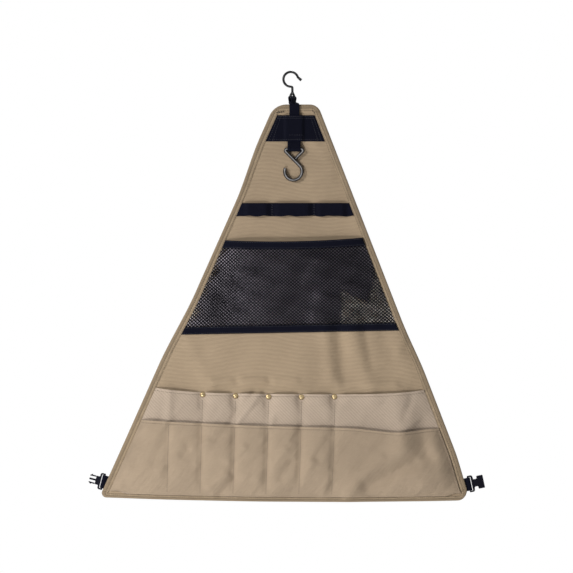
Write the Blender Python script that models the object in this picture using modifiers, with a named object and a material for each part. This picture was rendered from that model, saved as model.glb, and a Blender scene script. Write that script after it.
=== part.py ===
"""Hanging camp kitchen organizer.

A trapezoid of cloth hangs from a wire hook by a doubled strap. Down its front come a webbing patch
with a second wire hook in a loop, a webbing rail, a net pocket and two overlapping bands of pockets.
The two halves of a side release buckle hang from tabs at the lower corners. Metres, +Z up, the front
faces -Y, and the origin is the point where the hook's ring rests on whatever carries it.
"""

from math import acos, atan2, ceil, cos, hypot, pi, radians, sin, tan

import bmesh
import bpy
from mathutils import Matrix, Vector

PART_NAME = "camp_kitchen_organizer"

# Clearances
TOUCH_GAP = 0.0003
BAR_ROOM = 0.0005
EYE_SIDE_ROOM = 0.0009
WIRE_END_GAP = 0.0004
CUT_OVERRUN = 0.002
WELD_REACH = 0.00002

# Facets of round shapes
ROUND_STEP = radians(15)
LOOP_STEP = radians(30)
TURNED_STEPS = 16
DOME_STEPS = 4

# Hang hook, one wire bent into a ring, a stem and a closed eye
HANG_WIRE = 0.0045
HANG_BEND = 0.003
RING_RADIUS = 0.014
RING_END_ANGLE = radians(20)
RING_LEAD_OUT = 0.0012
TIP_LENGTH = 0.0088
TIP_TURN = radians(30)
HANG_STEM = 0.0046
HANG_CORNER = 0.003
EYE_TURN = radians(62)

# Front hook, one wire bent into a closed eye and an open J
FRONT_WIRE = 0.0055
FRONT_CORNER = 0.0032
FRONT_CROSS_RUN = 0.0144
FRONT_J_RADIUS = 0.0165
FRONT_J_SWEEP = radians(249)
FRONT_HOOK_SHIFT = 0.0062

# Webbing
WEBBING = 0.0015
WEBBING_PLY_GAP = 0.0006
STRAP_WIDTH = 0.019
STRAP_FREE = 0.0119
STRAP_LEAD_IN = 0.003
STRAP_SHIFT = 0.0068
STRAP_TAIL = 0.043
STRAP_ROWS = 8
STRAP_COLUMN_SHARES = (-0.5, -0.25, 0, 0.25, 0.5)
EDGE_SHARES = (-0.5, 0.5)
LOOP_WIDTH = 0.025
LOOP_DROP = 0.0148
LOOP_TAIL = 0.022
PATCH_DEPTH = 0.0208
PATCH_HEIGHT = 0.050
PATCH_CLOTH = 0.0011
PATCH_SLOPE = 0.007
RAIL_DEPTH_SHARE = 0.2504
RAIL_HEIGHT = 0.025
RAIL_BOW = 0.0056
RAIL_TACK = 0.004
RAIL_TACK_OFFSET = 0.0416
RAIL_RAMP = 0.012
RAIL_SHIFT = 0.0018

# Backing panel and the folded binding round it
PANEL_HEIGHT = 0.754
PANEL_TOP_WIDTH = 0.0828
PANEL_HEM_WIDTH = 0.7117
PANEL_TOP_SHIFT = 0.0102
PANEL_HEM_SHIFT = -0.0106
PANEL_CLOTH = 0.0016
TOP_CORNER = 0.0195
HEM_LEFT_CORNER = 0.012
HEM_RIGHT_CORNER = 0.018
LEAST_CORNER = 0.0003
BINDING_WIDTH = 0.013
BINDING_CLOTH = 0.0008

# Net pocket
NET_MOUTH_DEPTH_SHARE = 0.34151
NET_MOUTH_TILT = -0.0025
NET_MOUTH_SAG = 0.0045
NET_FOOT_DEPTH_SHARE = 0.57891
NET_FOOT_TILT = -0.004
NET_CORD = 0.001
NET_STRAND = 0.0016
NET_BULGE = 0.0115
NET_COLUMNS = 10
NET_ROWS = 7
NET_BAND_HEIGHT = 0.015
NET_BAND_COVER = 0.009
NET_BAND_CLOTH = 0.001
NET_FOLD_ROOM = 0.0005
NET_FOOT_BAND_HEIGHT = 0.0145

# Pocket bands, the rear one behind the front one
POCKET_CLOTH = 0.0009
POCKET_PITCH = 0.063
POCKET_FIRST_SEAM = 0.0885
POCKET_SEAM_COUNT = 5
POCKET_RISE = 0.055
SEAM_FLAT = 0.0062
EDGE_FLAT = 0.0015
REAR_POCKET_HEIGHT = 0.21
REAR_MOUTH_TILT = 0.002
REAR_MOUTH_SAG = 0.009
REAR_BULGE = 0.0075
FRONT_POCKET_HEIGHT = 0.1435
FRONT_MOUTH_TILT = 0.007
FRONT_MOUTH_SAG = 0.004
FRONT_BULGE = 0.0075
PUFF_SHARES = ((0.0, 0.0), (0.13, 0.62), (0.3, 0.94), (0.5, 1.0), (0.7, 0.94), (0.87, 0.62), (1.0, 0.0))
RISE_SHARES = ((0.0, 0.0), (0.2, 0.4), (0.55, 0.83), (1.0, 1.0))

# Rivets through the rear band and the panel at the seams
RIVET_DROP = 0.0068
RIVET_RADIUS = 0.0053
RIVET_DOME = 0.0021
RIVET_RIM = 0.0006
RIVET_POST = 0.0015
RIVET_BACK_RADIUS = 0.0046
RIVET_BACK_THICKNESS = 0.0012

# Buckle halves, both sewn to tabs behind the lower corners
TAB_WIDTH = 0.025
TAB_LENGTH = 0.027
BUCKLE_LENGTH = 0.032
BUCKLE_FRAME = 0.0018
BUCKLE_BAR = 0.0015
BUCKLE_SLOT_LENGTH = 0.0264
BUCKLE_SLOT_WIDTH = 0.0036
BUCKLE_CROSS_BEAM = 0.0034
BUCKLE_CORNER = 0.0034
BUCKLE_SLOT_CORNER = 0.0008
MALE_BAR_REACH = 0.0066
MALE_RISE = 0.0316
MALE_TILT = radians(14.5)
MALE_NECK_HALF = 0.0083
MALE_NECK_END = 0.0152
MALE_GUIDE_HALF = 0.0017
MALE_TIP = 0.0275
PRONG_ROOT_GAP = 0.0004
PRONG_WIDTH = 0.0024
PRONG_SHOULDER = 0.0225
PRONG_BARB_HALF = 0.0104
PRONG_TIP_HALF = 0.0068
PRONG_CORNER = 0.0007
PRONG_HALF_THICKNESS = 0.0016
FEMALE_BAR_REACH = 0.0068
FEMALE_RISE = 0.0272
FEMALE_TILT = radians(12)
FEMALE_WAIST_HALF = 0.007
FEMALE_WAIST_START = 0.0096
FEMALE_COLLAR_START = 0.0164
FEMALE_COLLAR_END = 0.0285
FEMALE_COLLAR_HALF = 0.0124
FEMALE_HALF_THICKNESS = 0.0044
FEMALE_WALL = 0.0014

# Directions that the pieces are laid out in
UP = Vector((0, 0, 1))
RIGHT = Vector((1, 0, 0))
BACK = Vector((0, 1, 0))

# Places that follow from the sizes
HANG_EYE_HALF = STRAP_WIDTH / 2 + EYE_SIDE_ROOM + HANG_CORNER / tan(pi / 8)
RING_CENTRE_Z = HANG_WIRE / 2 - RING_RADIUS
HANG_BAR_Z = RING_CENTRE_Z - RING_RADIUS - HANG_STEM - HANG_EYE_HALF
HANG_BAR_X = HANG_BEND
PANEL_TOP_Z = HANG_BAR_Z - STRAP_FREE
STRAP_HALF_STACK = WEBBING + WEBBING_PLY_GAP / 2
BINDING_HALF_STACK = PANEL_CLOTH / 2 + TOUCH_GAP + BINDING_CLOTH
PANEL_Y = STRAP_HALF_STACK + TOUCH_GAP + BINDING_HALF_STACK
PANEL_FRONT_Y = PANEL_Y - PANEL_CLOTH / 2
PANEL_BACK_Y = PANEL_Y + PANEL_CLOTH / 2
BINDING_BACK_Y = PANEL_Y + BINDING_HALF_STACK
PATCH_FLAT_Y = PANEL_FRONT_Y - TOUCH_GAP - PATCH_CLOTH / 2
PATCH_RIDGE_Y = -STRAP_HALF_STACK - TOUCH_GAP - PATCH_CLOTH / 2
FRONT_LOOP_RADIUS = FRONT_WIRE / 2 + BAR_ROOM + WEBBING / 2
FRONT_BAR_Y = PANEL_FRONT_Y - TOUCH_GAP - WEBBING / 2 - FRONT_LOOP_RADIUS
FRONT_BAR_Z = PANEL_TOP_Z - PATCH_DEPTH - PATCH_HEIGHT - LOOP_DROP
NET_Y = PANEL_FRONT_Y - TOUCH_GAP - NET_CORD / 2
RAIL_DEPTH = PANEL_HEIGHT * RAIL_DEPTH_SHARE
NET_MOUTH_DEPTH = PANEL_HEIGHT * NET_MOUTH_DEPTH_SHARE
NET_FOOT_DEPTH = PANEL_HEIGHT * NET_FOOT_DEPTH_SHARE
REAR_MOUTH_DEPTH = PANEL_HEIGHT - REAR_POCKET_HEIGHT
FRONT_MOUTH_DEPTH = PANEL_HEIGHT - FRONT_POCKET_HEIGHT
MALE_DEPTH = PANEL_HEIGHT - MALE_RISE
FEMALE_DEPTH = PANEL_HEIGHT - FEMALE_RISE
REAR_Y = PANEL_FRONT_Y - TOUCH_GAP - POCKET_CLOTH / 2
BUCKLE_BAR_CORNER = hypot(BUCKLE_BAR, BUCKLE_FRAME)
TAB_LOOP_RADIUS = BUCKLE_BAR_CORNER + TOUCH_GAP + WEBBING / 2
BUCKLE_Y = BINDING_BACK_Y + TOUCH_GAP + STRAP_HALF_STACK

# Finishes: colour, roughness, metallic
FINISHES = {
    "tan_cloth": ((0.40, 0.31, 0.21), 0.9, 0.0),
    "twill_cloth": ((0.50, 0.41, 0.32), 0.9, 0.0),
    "binding_cloth": ((0.33, 0.26, 0.17), 0.9, 0.0),
    "dark_webbing": ((0.012, 0.013, 0.025), 0.85, 0.0),
    "dark_net": ((0.03, 0.03, 0.045), 0.8, 0.0),
    "brass": ((0.60, 0.42, 0.18), 0.35, 1.0),
    "black_plastic": ((0.012, 0.012, 0.016), 0.45, 0.0),
    "black_steel": ((0.03, 0.03, 0.034), 0.4, 0.6),
}


def clear_scene():
    """Removes what the scene holds and gives back the collections of the parts and of the cutters."""
    for item in list(bpy.data.objects):
        bpy.data.objects.remove(item, do_unlink=True)
    collections = []
    for name in (PART_NAME, PART_NAME + "_cutters"):
        collection = bpy.data.collections.new(name)
        bpy.context.scene.collection.children.link(collection)
        collections.append(collection)
    return collections


def make_material(part_name, finish_name):
    """Makes a part's own material in one of the finishes."""
    colour, roughness, metallic = FINISHES[finish_name]
    material = bpy.data.materials.new(part_name + "_" + finish_name)
    material.use_nodes = True
    shader = material.node_tree.nodes["Principled BSDF"]
    shader.inputs["Base Color"].default_value = (*colour, 1)
    shader.inputs["Roughness"].default_value = roughness
    shader.inputs["Metallic"].default_value = metallic
    material.diffuse_color = (*colour, 1)
    return material


def link(name, data, finish_name, pivot):
    """Makes a part's object from a mesh or curve that is laid out in world places, under its pivot."""
    part = bpy.data.objects.new(name, data)
    data.materials.append(make_material(name, finish_name))
    PARTS.objects.link(part)
    if pivot is not None:
        part.parent = pivot
        part.matrix_parent_inverse = Matrix.Translation(-pivot.location)
    return part


def make_pivot(name, location, parent=None):
    """Makes the empty that a moving body hangs from, on its joint's axis."""
    pivot = bpy.data.objects.new(name, None)
    pivot.location = location
    PARTS.objects.link(pivot)
    if parent is not None:
        pivot.parent = parent
        pivot.matrix_parent_inverse = Matrix.Translation(-parent.location)
    return pivot


def round_corners(corners, closed=False, step=ROUND_STEP):
    """Turns (point, bend radius) corners into the points of a path with arcs at its bends."""
    points = []
    for index, (corner, radius) in enumerate(corners):
        at_end = not closed and index in (0, len(corners) - 1)
        if at_end or radius == 0:
            points.append(corner.copy())
            continue
        before = (corners[index - 1][0] - corner).normalized()
        after = (corners[(index + 1) % len(corners)][0] - corner).normalized()
        opening = before.angle(after)
        centre = corner + (before + after).normalized() * radius / sin(opening / 2)
        first = corner + before * radius / tan(opening / 2) - centre
        last = corner + after * radius / tan(opening / 2) - centre
        turn = pi - opening
        steps = max(1, ceil(turn / step))
        for stop in range(steps + 1):
            angle = turn * stop / steps
            points.append(centre + (first * sin(turn - angle) + last * sin(angle)) / sin(turn))
    return points


def wire(name, points, diameter, finish_name, pivot):
    """Makes a round wire along a path."""
    curve = bpy.data.curves.new(name, "CURVE")
    curve.dimensions = "3D"
    curve.bevel_depth = diameter / 2
    curve.bevel_resolution = 3
    curve.use_fill_caps = True
    spline = curve.splines.new("POLY")
    spline.points.add(len(points) - 1)
    for target, point in zip(spline.points, points):
        target.co = (*point, 1)
    return link(name, curve, finish_name, pivot)


def plate_curve(name, outlines, half_thickness):
    """Makes a flat curve, filled between its outline and any holes, in its own X and Y."""
    curve = bpy.data.curves.new(name, "CURVE")
    curve.dimensions = "2D"
    curve.fill_mode = "BOTH"
    curve.extrude = half_thickness
    for outline in outlines:
        spline = curve.splines.new("POLY")
        spline.points.add(len(outline) - 1)
        spline.use_cyclic_u = True
        for target, point in zip(spline.points, outline):
            target.co = (point.x, point.y, 0, 1)
    return curve


def curve_as_mesh(name, curve):
    """Turns a curve into a mesh with its caps welded on."""
    guide = bpy.data.objects.new(name + "_guide", curve)
    PARTS.objects.link(guide)
    bpy.context.view_layer.update()
    graph = bpy.context.evaluated_depsgraph_get()
    mesh = bpy.data.meshes.new_from_object(guide.evaluated_get(graph))
    mesh.name = name
    shell = bmesh.new()
    shell.from_mesh(mesh)
    bmesh.ops.remove_doubles(shell, verts=shell.verts, dist=WELD_REACH)
    bmesh.ops.recalc_face_normals(shell, faces=shell.faces)
    shell.to_mesh(mesh)
    shell.free()
    bpy.data.objects.remove(guide, do_unlink=True)
    return mesh


def sheet(name, rows, thickness, finish_name, pivot):
    """Bends a grid to rows of points and thickens it to a cloth or webbing of even thickness."""
    cloth = bmesh.new()
    bmesh.ops.create_grid(cloth, x_segments=len(rows[0]) - 1, y_segments=len(rows) - 1, size=1.0)
    order = sorted(cloth.verts, key=lambda vertex: (round(vertex.co.y, 5), round(vertex.co.x, 5)))
    places = [point for row in rows for point in row]
    for vertex, place in zip(order, places):
        vertex.co = place
    mesh = bpy.data.meshes.new(name)
    cloth.to_mesh(mesh)
    cloth.free()
    mesh.shade_smooth()
    part = link(name, mesh, finish_name, pivot)
    thicken(part, thickness)
    return part


def thicken(part, thickness):
    """Gives an open surface its thickness, half of it to each side."""
    solidify = part.modifiers.new("cloth_thickness", "SOLIDIFY")
    solidify.thickness = thickness
    solidify.offset = 0
    solidify.use_even_offset = True


def box_cutter(name, low, high, matrix):
    """Makes a box that cuts, from two of its corners in the frame of a matrix."""
    shape = bmesh.new()
    bmesh.ops.create_cube(shape, size=1.0)
    size = Vector(high) - Vector(low)
    middle = (Vector(high) + Vector(low)) / 2
    place = matrix @ Matrix.Translation(middle) @ Matrix.Diagonal((*size, 1))
    bmesh.ops.transform(shape, matrix=place, verts=shape.verts)
    mesh = bpy.data.meshes.new(name)
    shape.to_mesh(mesh)
    shape.free()
    return hide_cutter(name, mesh)


def hide_cutter(name, mesh):
    """Makes the object of a cutter, shown as wire and left out of the part."""
    cutter = bpy.data.objects.new(name, mesh)
    cutter.hide_render = True
    cutter.display_type = "WIRE"
    CUTTERS.objects.link(cutter)
    return cutter


def cut(part, cutter, operation="DIFFERENCE"):
    """Cuts a part with a cutter, or joins the two."""
    boolean = part.modifiers.new(cutter.name, "BOOLEAN")
    boolean.operation = operation
    boolean.solver = "EXACT"
    boolean.object = cutter


def interpolate(table, share):
    """Reads a table of (place share, height share) pairs between its entries."""
    for (low, low_value), (high, high_value) in zip(table, table[1:]):
        if share <= high:
            return low_value + (high_value - low_value) * (share - low) / (high - low)
    return table[-1][1]


def centre_x(depth):
    """X of the panel's middle line at a depth below its top edge."""
    return PANEL_TOP_SHIFT + (PANEL_HEM_SHIFT - PANEL_TOP_SHIFT) * depth / PANEL_HEIGHT


def half_width(depth):
    """Half of the panel's width at a depth below its top edge."""
    return (PANEL_TOP_WIDTH + (PANEL_HEM_WIDTH - PANEL_TOP_WIDTH) * depth / PANEL_HEIGHT) / 2


def panel_point(share, depth, y=PANEL_Y, inset=0.0):
    """Point at a share, -1 left to 1 right, of the width between the side edges moved in by inset."""
    x = centre_x(depth) + share * (half_width(depth) - inset)
    return Vector((x, y, PANEL_TOP_Z - depth))


def inner_inset():
    """How far in from the side edge, level across, the cloth that meets the binding ends."""
    slope = (PANEL_HEM_WIDTH - PANEL_TOP_WIDTH) / 2 / PANEL_HEIGHT
    return (BINDING_WIDTH + TOUCH_GAP) * hypot(1, slope)


def panel_corners():
    """Corners of the panel's outline with their radii, clockwise from the top left."""
    return (
        (panel_point(-1, 0), TOP_CORNER),
        (panel_point(1, 0), TOP_CORNER),
        (panel_point(1, PANEL_HEIGHT), HEM_RIGHT_CORNER),
        (panel_point(-1, PANEL_HEIGHT), HEM_LEFT_CORNER),
    )


def outline_bend(index, inset):
    """Arc round one corner of the panel's outline moved in by inset, clockwise."""
    corners = panel_corners()
    corner, radius = corners[index]
    before = (corners[index - 1][0] - corner).normalized()
    after = (corners[(index + 1) % len(corners)][0] - corner).normalized()
    opening = before.angle(after)
    moved = corner + (before + after).normalized() * inset / sin(opening / 2)
    bend = max(radius * (1 - inset / BINDING_WIDTH), LEAST_CORNER)
    return round_corners(((moved + before, 0), (moved, bend), (moved + after, 0)))[1:-1]


def binding_section():
    """Middle line of the folded binding as (inset, offset to the back), front edge to back edge."""
    middle = BINDING_HALF_STACK - BINDING_CLOTH / 2
    section = [(BINDING_WIDTH, -middle)]
    steps = ceil(pi / LOOP_STEP)
    for stop in range(steps + 1):
        angle = pi * stop / steps
        section.append((BINDING_HALF_STACK - middle * sin(angle), -middle * cos(angle)))
    section.append((BINDING_WIDTH, middle))
    return section


def binding_run(start_index, end_index, whole_bends):
    """Rows of a binding from one corner of the outline to the next ones, one row a section point."""
    rows = []
    for inset, offset in binding_section():
        if whole_bends:
            line = outline_bend(start_index, inset) + outline_bend(end_index, inset)
        else:
            first = outline_bend(start_index, inset)[-1]
            last = outline_bend(end_index, inset)[0]
            along = (last - first).normalized() * TOUCH_GAP
            line = [first + along, last - along]
        rows.append([point + BACK * offset for point in line])
    return rows


def make_bindings(pivot):
    """Makes the folded binding in four pieces: over the top, down each side and along the hem."""
    sheet("top_binding", binding_run(0, 1, True), BINDING_CLOTH, "binding_cloth", pivot)
    sheet("right_binding", binding_run(1, 2, False), BINDING_CLOTH, "binding_cloth", pivot)
    sheet("hem_binding", binding_run(2, 3, True), BINDING_CLOTH, "binding_cloth", pivot)
    sheet("left_binding", binding_run(3, 0, False), BINDING_CLOTH, "binding_cloth", pivot)


def seam_offsets():
    """Distances of the shared pocket seams from the panel's middle line, left to right."""
    offsets = [POCKET_FIRST_SEAM - POCKET_PITCH * count for count in range(POCKET_SEAM_COUNT)]
    return sorted(offsets)


def rivet_places():
    """Points of the rivets' axes on the panel's middle plane, left to right."""
    places = []
    for offset in seam_offsets():
        depth = rear_mouth(offset / half_width(REAR_MOUTH_DEPTH)) + RIVET_DROP
        places.append(Vector((centre_x(depth) + offset, PANEL_Y, PANEL_TOP_Z - depth)))
    return places


def circle(centre, radius, steps=TURNED_STEPS):
    """Points of a circle in X and Y."""
    turns = [2 * pi * stop / steps for stop in range(steps)]
    return [centre + Vector((cos(turn), sin(turn), 0)) * radius for turn in turns]


def make_backing_panel(pivot):
    """Makes the panel's cloth with holes for the rivets' posts."""
    outline = []
    for index in range(len(panel_corners())):
        outline.extend(outline_bend(index, BINDING_HALF_STACK))
    flat = [Vector((point.x, point.z, 0)) for point in outline]
    holes = []
    for place in rivet_places():
        holes.append(circle(Vector((place.x, place.z, 0)), RIVET_POST + TOUCH_GAP))
    mesh = curve_as_mesh("backing_panel", plate_curve("backing_panel", [flat, *holes], PANEL_CLOTH / 2))
    mesh.transform(Matrix.Translation(BACK * PANEL_Y) @ Matrix.Rotation(pi / 2, 4, "X"))
    link("backing_panel", mesh, "tan_cloth", pivot)


def make_hang_hook():
    """Makes the upper hook: a flared ring in X and Z above an eye that is turned across it."""
    bar_middle = Vector((HANG_BAR_X, 0, HANG_BAR_Z))
    across = Vector((cos(EYE_TURN), sin(EYE_TURN), 0))
    left = bar_middle - across * HANG_EYE_HALF
    right = bar_middle + across * HANG_EYE_HALF
    apex = bar_middle + UP * HANG_EYE_HALF
    wire_end = apex + (left - apex).normalized() * (HANG_WIRE / 2 + WIRE_END_GAP)
    ring_centre = UP * RING_CENTRE_Z
    foot = ring_centre - UP * RING_RADIUS
    corners = [(wire_end, 0), (left, HANG_CORNER), (right, HANG_CORNER), (apex, HANG_BEND)]
    corners.append((foot + RIGHT * HANG_BEND, HANG_BEND))
    sweep = 2 * pi - pi / 2 - RING_END_ANGLE
    steps = ceil(sweep / ROUND_STEP)
    for stop in range(1, steps + 1):
        angle = -pi / 2 - sweep * stop / steps
        corners.append((ring_centre + ring_direction(angle) * RING_RADIUS, 0))
    heading = -ring_direction(RING_END_ANGLE + pi / 2)
    lead_out = corners[-1][0] + heading * RING_LEAD_OUT
    corners.append((lead_out, RING_LEAD_OUT / tan(TIP_TURN / 2)))
    flared = ring_direction(atan2(heading.z, heading.x) + TIP_TURN)
    corners.append((lead_out + flared * TIP_LENGTH, 0))
    wire("hang_hook", round_corners(corners), HANG_WIRE, "black_steel", None)


def ring_direction(angle):
    """Unit vector at an angle from +X towards +Z."""
    return Vector((cos(angle), 0, sin(angle)))


def make_front_hook(pivot):
    """Makes the lower hook: an eye under its bar, whose wire crosses and ends in an open J."""
    half = LOOP_WIDTH / 2 + EYE_SIDE_ROOM + FRONT_CORNER / tan(pi / 8)
    bar_middle = Vector((FRONT_HOOK_SHIFT, FRONT_BAR_Y, FRONT_BAR_Z))
    left = bar_middle - RIGHT * half
    right = bar_middle + RIGHT * half
    apex = bar_middle - UP * half
    wire_end = apex + (right - apex).normalized() * (FRONT_WIRE / 2 + WIRE_END_GAP)
    touch = apex + (apex - left).normalized() * FRONT_CROSS_RUN
    centre = touch - ring_direction(pi / 4) * FRONT_J_RADIUS
    corners = [(wire_end, 0), (right, FRONT_CORNER), (left, FRONT_CORNER)]
    steps = ceil(FRONT_J_SWEEP / ROUND_STEP)
    for stop in range(steps + 1):
        angle = pi / 4 - FRONT_J_SWEEP * stop / steps
        corners.append((centre + ring_direction(angle) * FRONT_J_RADIUS, 0))
    wire("front_hook", round_corners(corners), FRONT_WIRE, "black_steel", pivot)


def loop_line(radius, front, back, meet, reach):
    """Middle line of webbing doubled round a bar, as (away from the bar, to the back) pairs.

    The two plies leave the bar tangent to its loop and lie at their own offsets from meet to reach.
    """
    front_turn = atan2(front, meet) - acos(radius / hypot(meet, front))
    back_turn = atan2(back, meet) + acos(radius / hypot(meet, back)) - 2 * pi
    steps = ceil((front_turn - back_turn) / LOOP_STEP)
    line = [(reach, front), (meet, front)]
    for stop in range(steps + 1):
        angle = front_turn + (back_turn - front_turn) * stop / steps
        line.append((radius * cos(angle), radius * sin(angle)))
    if back < radius:
        line.append((meet, back))
    line.append((reach, back))
    return line


def split_long(line, longest):
    """Splits the long stretches of a line of pairs evenly."""
    points = [line[0]]
    for start, end in zip(line, line[1:]):
        length = hypot(end[0] - start[0], end[1] - start[1])
        parts = max(1, ceil(length / longest))
        for part in range(1, parts + 1):
            share = part / parts
            points.append((start[0] + (end[0] - start[0]) * share, start[1] + (end[1] - start[1]) * share))
    return points


def make_hanging_strap(pivot):
    """Makes the strap that goes round the eye's bar and turns flat before it reaches the panel."""
    radius = HANG_WIRE / 2 + BAR_ROOM + WEBBING / 2
    ply = (WEBBING + WEBBING_PLY_GAP) / 2
    twist_run = STRAP_FREE - STRAP_LEAD_IN
    line = loop_line(radius, -ply, ply, STRAP_FREE + WEBBING, STRAP_FREE + STRAP_TAIL)
    row_gap = STRAP_FREE / STRAP_ROWS
    near = [pair for pair in split_long(line, row_gap) if pair[0] <= STRAP_FREE + 2 * WEBBING]
    stations = [line[0], *near, line[-1]]
    rows = []
    for away, to_back in stations:
        share = min(max((away - STRAP_LEAD_IN) / twist_run, 0), 1)
        turn = EYE_TURN * (1 - share)
        across = Vector((cos(turn), sin(turn), 0))
        through = Vector((-sin(turn), cos(turn), 0))
        middle = Vector((HANG_BAR_X + (STRAP_SHIFT - HANG_BAR_X) * share, 0, HANG_BAR_Z - away))
        middle += through * to_back
        rows.append([middle + across * STRAP_WIDTH * side for side in STRAP_COLUMN_SHARES])
    sheet("hanging_strap", rows, WEBBING, "dark_webbing", pivot)


def make_front_loop(pivot):
    """Makes the loop that holds the front hook, its back ply straight down the panel."""
    back = FRONT_LOOP_RADIUS
    front = back - WEBBING - WEBBING_PLY_GAP
    line = loop_line(FRONT_LOOP_RADIUS, front, back, LOOP_DROP, LOOP_DROP + LOOP_TAIL)
    rows = []
    for away, to_back in line:
        middle = Vector((FRONT_HOOK_SHIFT, FRONT_BAR_Y + to_back, FRONT_BAR_Z + away))
        rows.append([middle + RIGHT * LOOP_WIDTH * side for side in EDGE_SHARES])
    sheet("front_loop", rows, WEBBING, "dark_webbing", pivot)


def make_apex_patch(pivot):
    """Makes the wide webbing across the panel's top, raised over the tails of strap and loop."""
    low_x = min(STRAP_SHIFT - STRAP_WIDTH / 2, FRONT_HOOK_SHIFT - LOOP_WIDTH / 2) - TOUCH_GAP - PATCH_CLOTH
    high_x = max(STRAP_SHIFT + STRAP_WIDTH / 2, FRONT_HOOK_SHIFT + LOOP_WIDTH / 2) + TOUCH_GAP + PATCH_CLOTH
    rows = []
    for share in (0, 0.5, 1):
        depth = PATCH_DEPTH + PATCH_HEIGHT * share
        left = panel_point(-1, depth, PATCH_FLAT_Y, inner_inset())
        right = panel_point(1, depth, PATCH_FLAT_Y, inner_inset())
        row = [left]
        for x, y in (
            (max(low_x - PATCH_SLOPE, (left.x + low_x) / 2), PATCH_FLAT_Y),
            (low_x, PATCH_RIDGE_Y),
            (high_x, PATCH_RIDGE_Y),
            (min(high_x + PATCH_SLOPE, (right.x + high_x) / 2), PATCH_FLAT_Y),
        ):
            row.append(Vector((x, y, left.z)))
        row.append(right)
        rows.append(row)
    sheet("apex_patch", rows, PATCH_CLOTH, "dark_webbing", pivot)


def make_webbing_rail(pivot):
    """Makes the rail across the panel, held at its ends and two tacks and bowed between them."""
    flat_y = PANEL_FRONT_Y - TOUCH_GAP - WEBBING / 2
    rows = []
    for share in (0, 1):
        depth = RAIL_DEPTH + RAIL_HEIGHT * share
        left = panel_point(-1, depth, flat_y, inner_inset())
        right = panel_point(1, depth, flat_y, inner_inset())
        tacks = [RAIL_SHIFT - RAIL_TACK_OFFSET, RAIL_SHIFT + RAIL_TACK_OFFSET]
        held = [(left.x, left.x + RAIL_TACK)]
        held += [(tack - RAIL_TACK / 2, tack + RAIL_TACK / 2) for tack in tacks]
        held.append((right.x - RAIL_TACK, right.x))
        row = [Vector((held[0][0], flat_y, left.z))]
        for (_, start), (end, _) in zip(held, held[1:]):
            middle = (start + end) / 2
            for x, bow in (
                (start, 0),
                (start + RAIL_RAMP, RAIL_BOW),
                (middle, RAIL_BOW),
                (end - RAIL_RAMP, RAIL_BOW),
                (end, 0),
            ):
                row.append(Vector((x, flat_y - bow, left.z)))
        row.append(Vector((held[-1][1], flat_y, left.z)))
        rows.append(row)
    sheet("webbing_rail", rows, WEBBING, "dark_webbing", pivot)


def net_mouth(share):
    """Depth of the net pocket's mouth below the panel's top edge."""
    return NET_MOUTH_DEPTH + NET_MOUTH_TILT * share + NET_MOUTH_SAG * (1 - share * share)


def net_foot(share):
    """Depth of the net pocket's foot below the panel's top edge."""
    return NET_FOOT_DEPTH + NET_FOOT_TILT * share


def net_stand_off(share, rise_share):
    """How far the net stands forward of its foot's plane, most at the middle of the mouth."""
    edge_lift = NET_FOLD_ROOM + NET_BAND_CLOTH
    return (edge_lift + NET_BULGE * (1 - share ** 4)) * sin(rise_share * pi / 2)


def net_point(share, depth, offset=0.0):
    """Point of the net's middle plane, or of a plane moved to the back by offset."""
    rise_share = (net_foot(share) - depth) / (net_foot(share) - net_mouth(share))
    forward = net_stand_off(share, min(max(rise_share, 0), 1))
    return panel_point(share, depth, NET_Y - forward + offset, inner_inset())


def make_net_panel(pivot):
    """Makes the net: a grid turned to diamonds, each one opened to leave strands."""
    net = bmesh.new()
    bmesh.ops.create_grid(net, x_segments=NET_COLUMNS, y_segments=NET_ROWS, size=1.0)
    inner_edges = [edge for edge in net.edges if not edge.is_boundary]
    bmesh.ops.poke(net, faces=net.faces)
    bmesh.ops.dissolve_edges(net, edges=inner_edges)
    edge_cover = (NET_BAND_HEIGHT - NET_BAND_COVER) + NET_BAND_CLOTH
    for vertex in net.verts:
        share = vertex.co.x
        top = net_mouth(share) + edge_cover
        foot = net_foot(share) - edge_cover
        depth = foot + (top - foot) * (vertex.co.y + 1) / 2
        vertex.co = panel_point(share, depth, NET_Y, inner_inset())
    net.normal_update()
    gaps = list(net.faces)
    bmesh.ops.inset_individual(net, faces=gaps, thickness=NET_STRAND / 2, use_even_offset=True)
    bmesh.ops.delete(net, geom=gaps, context="FACES")
    for vertex in net.verts:
        depth = PANEL_TOP_Z - vertex.co.z
        share = (vertex.co.x - centre_x(depth)) / (half_width(depth) - inner_inset())
        vertex.co = net_point(share, depth)
    mesh = bpy.data.meshes.new("net_panel")
    net.to_mesh(mesh)
    net.free()
    part = link("net_panel", mesh, "dark_net", pivot)
    thicken(part, NET_CORD)


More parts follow.
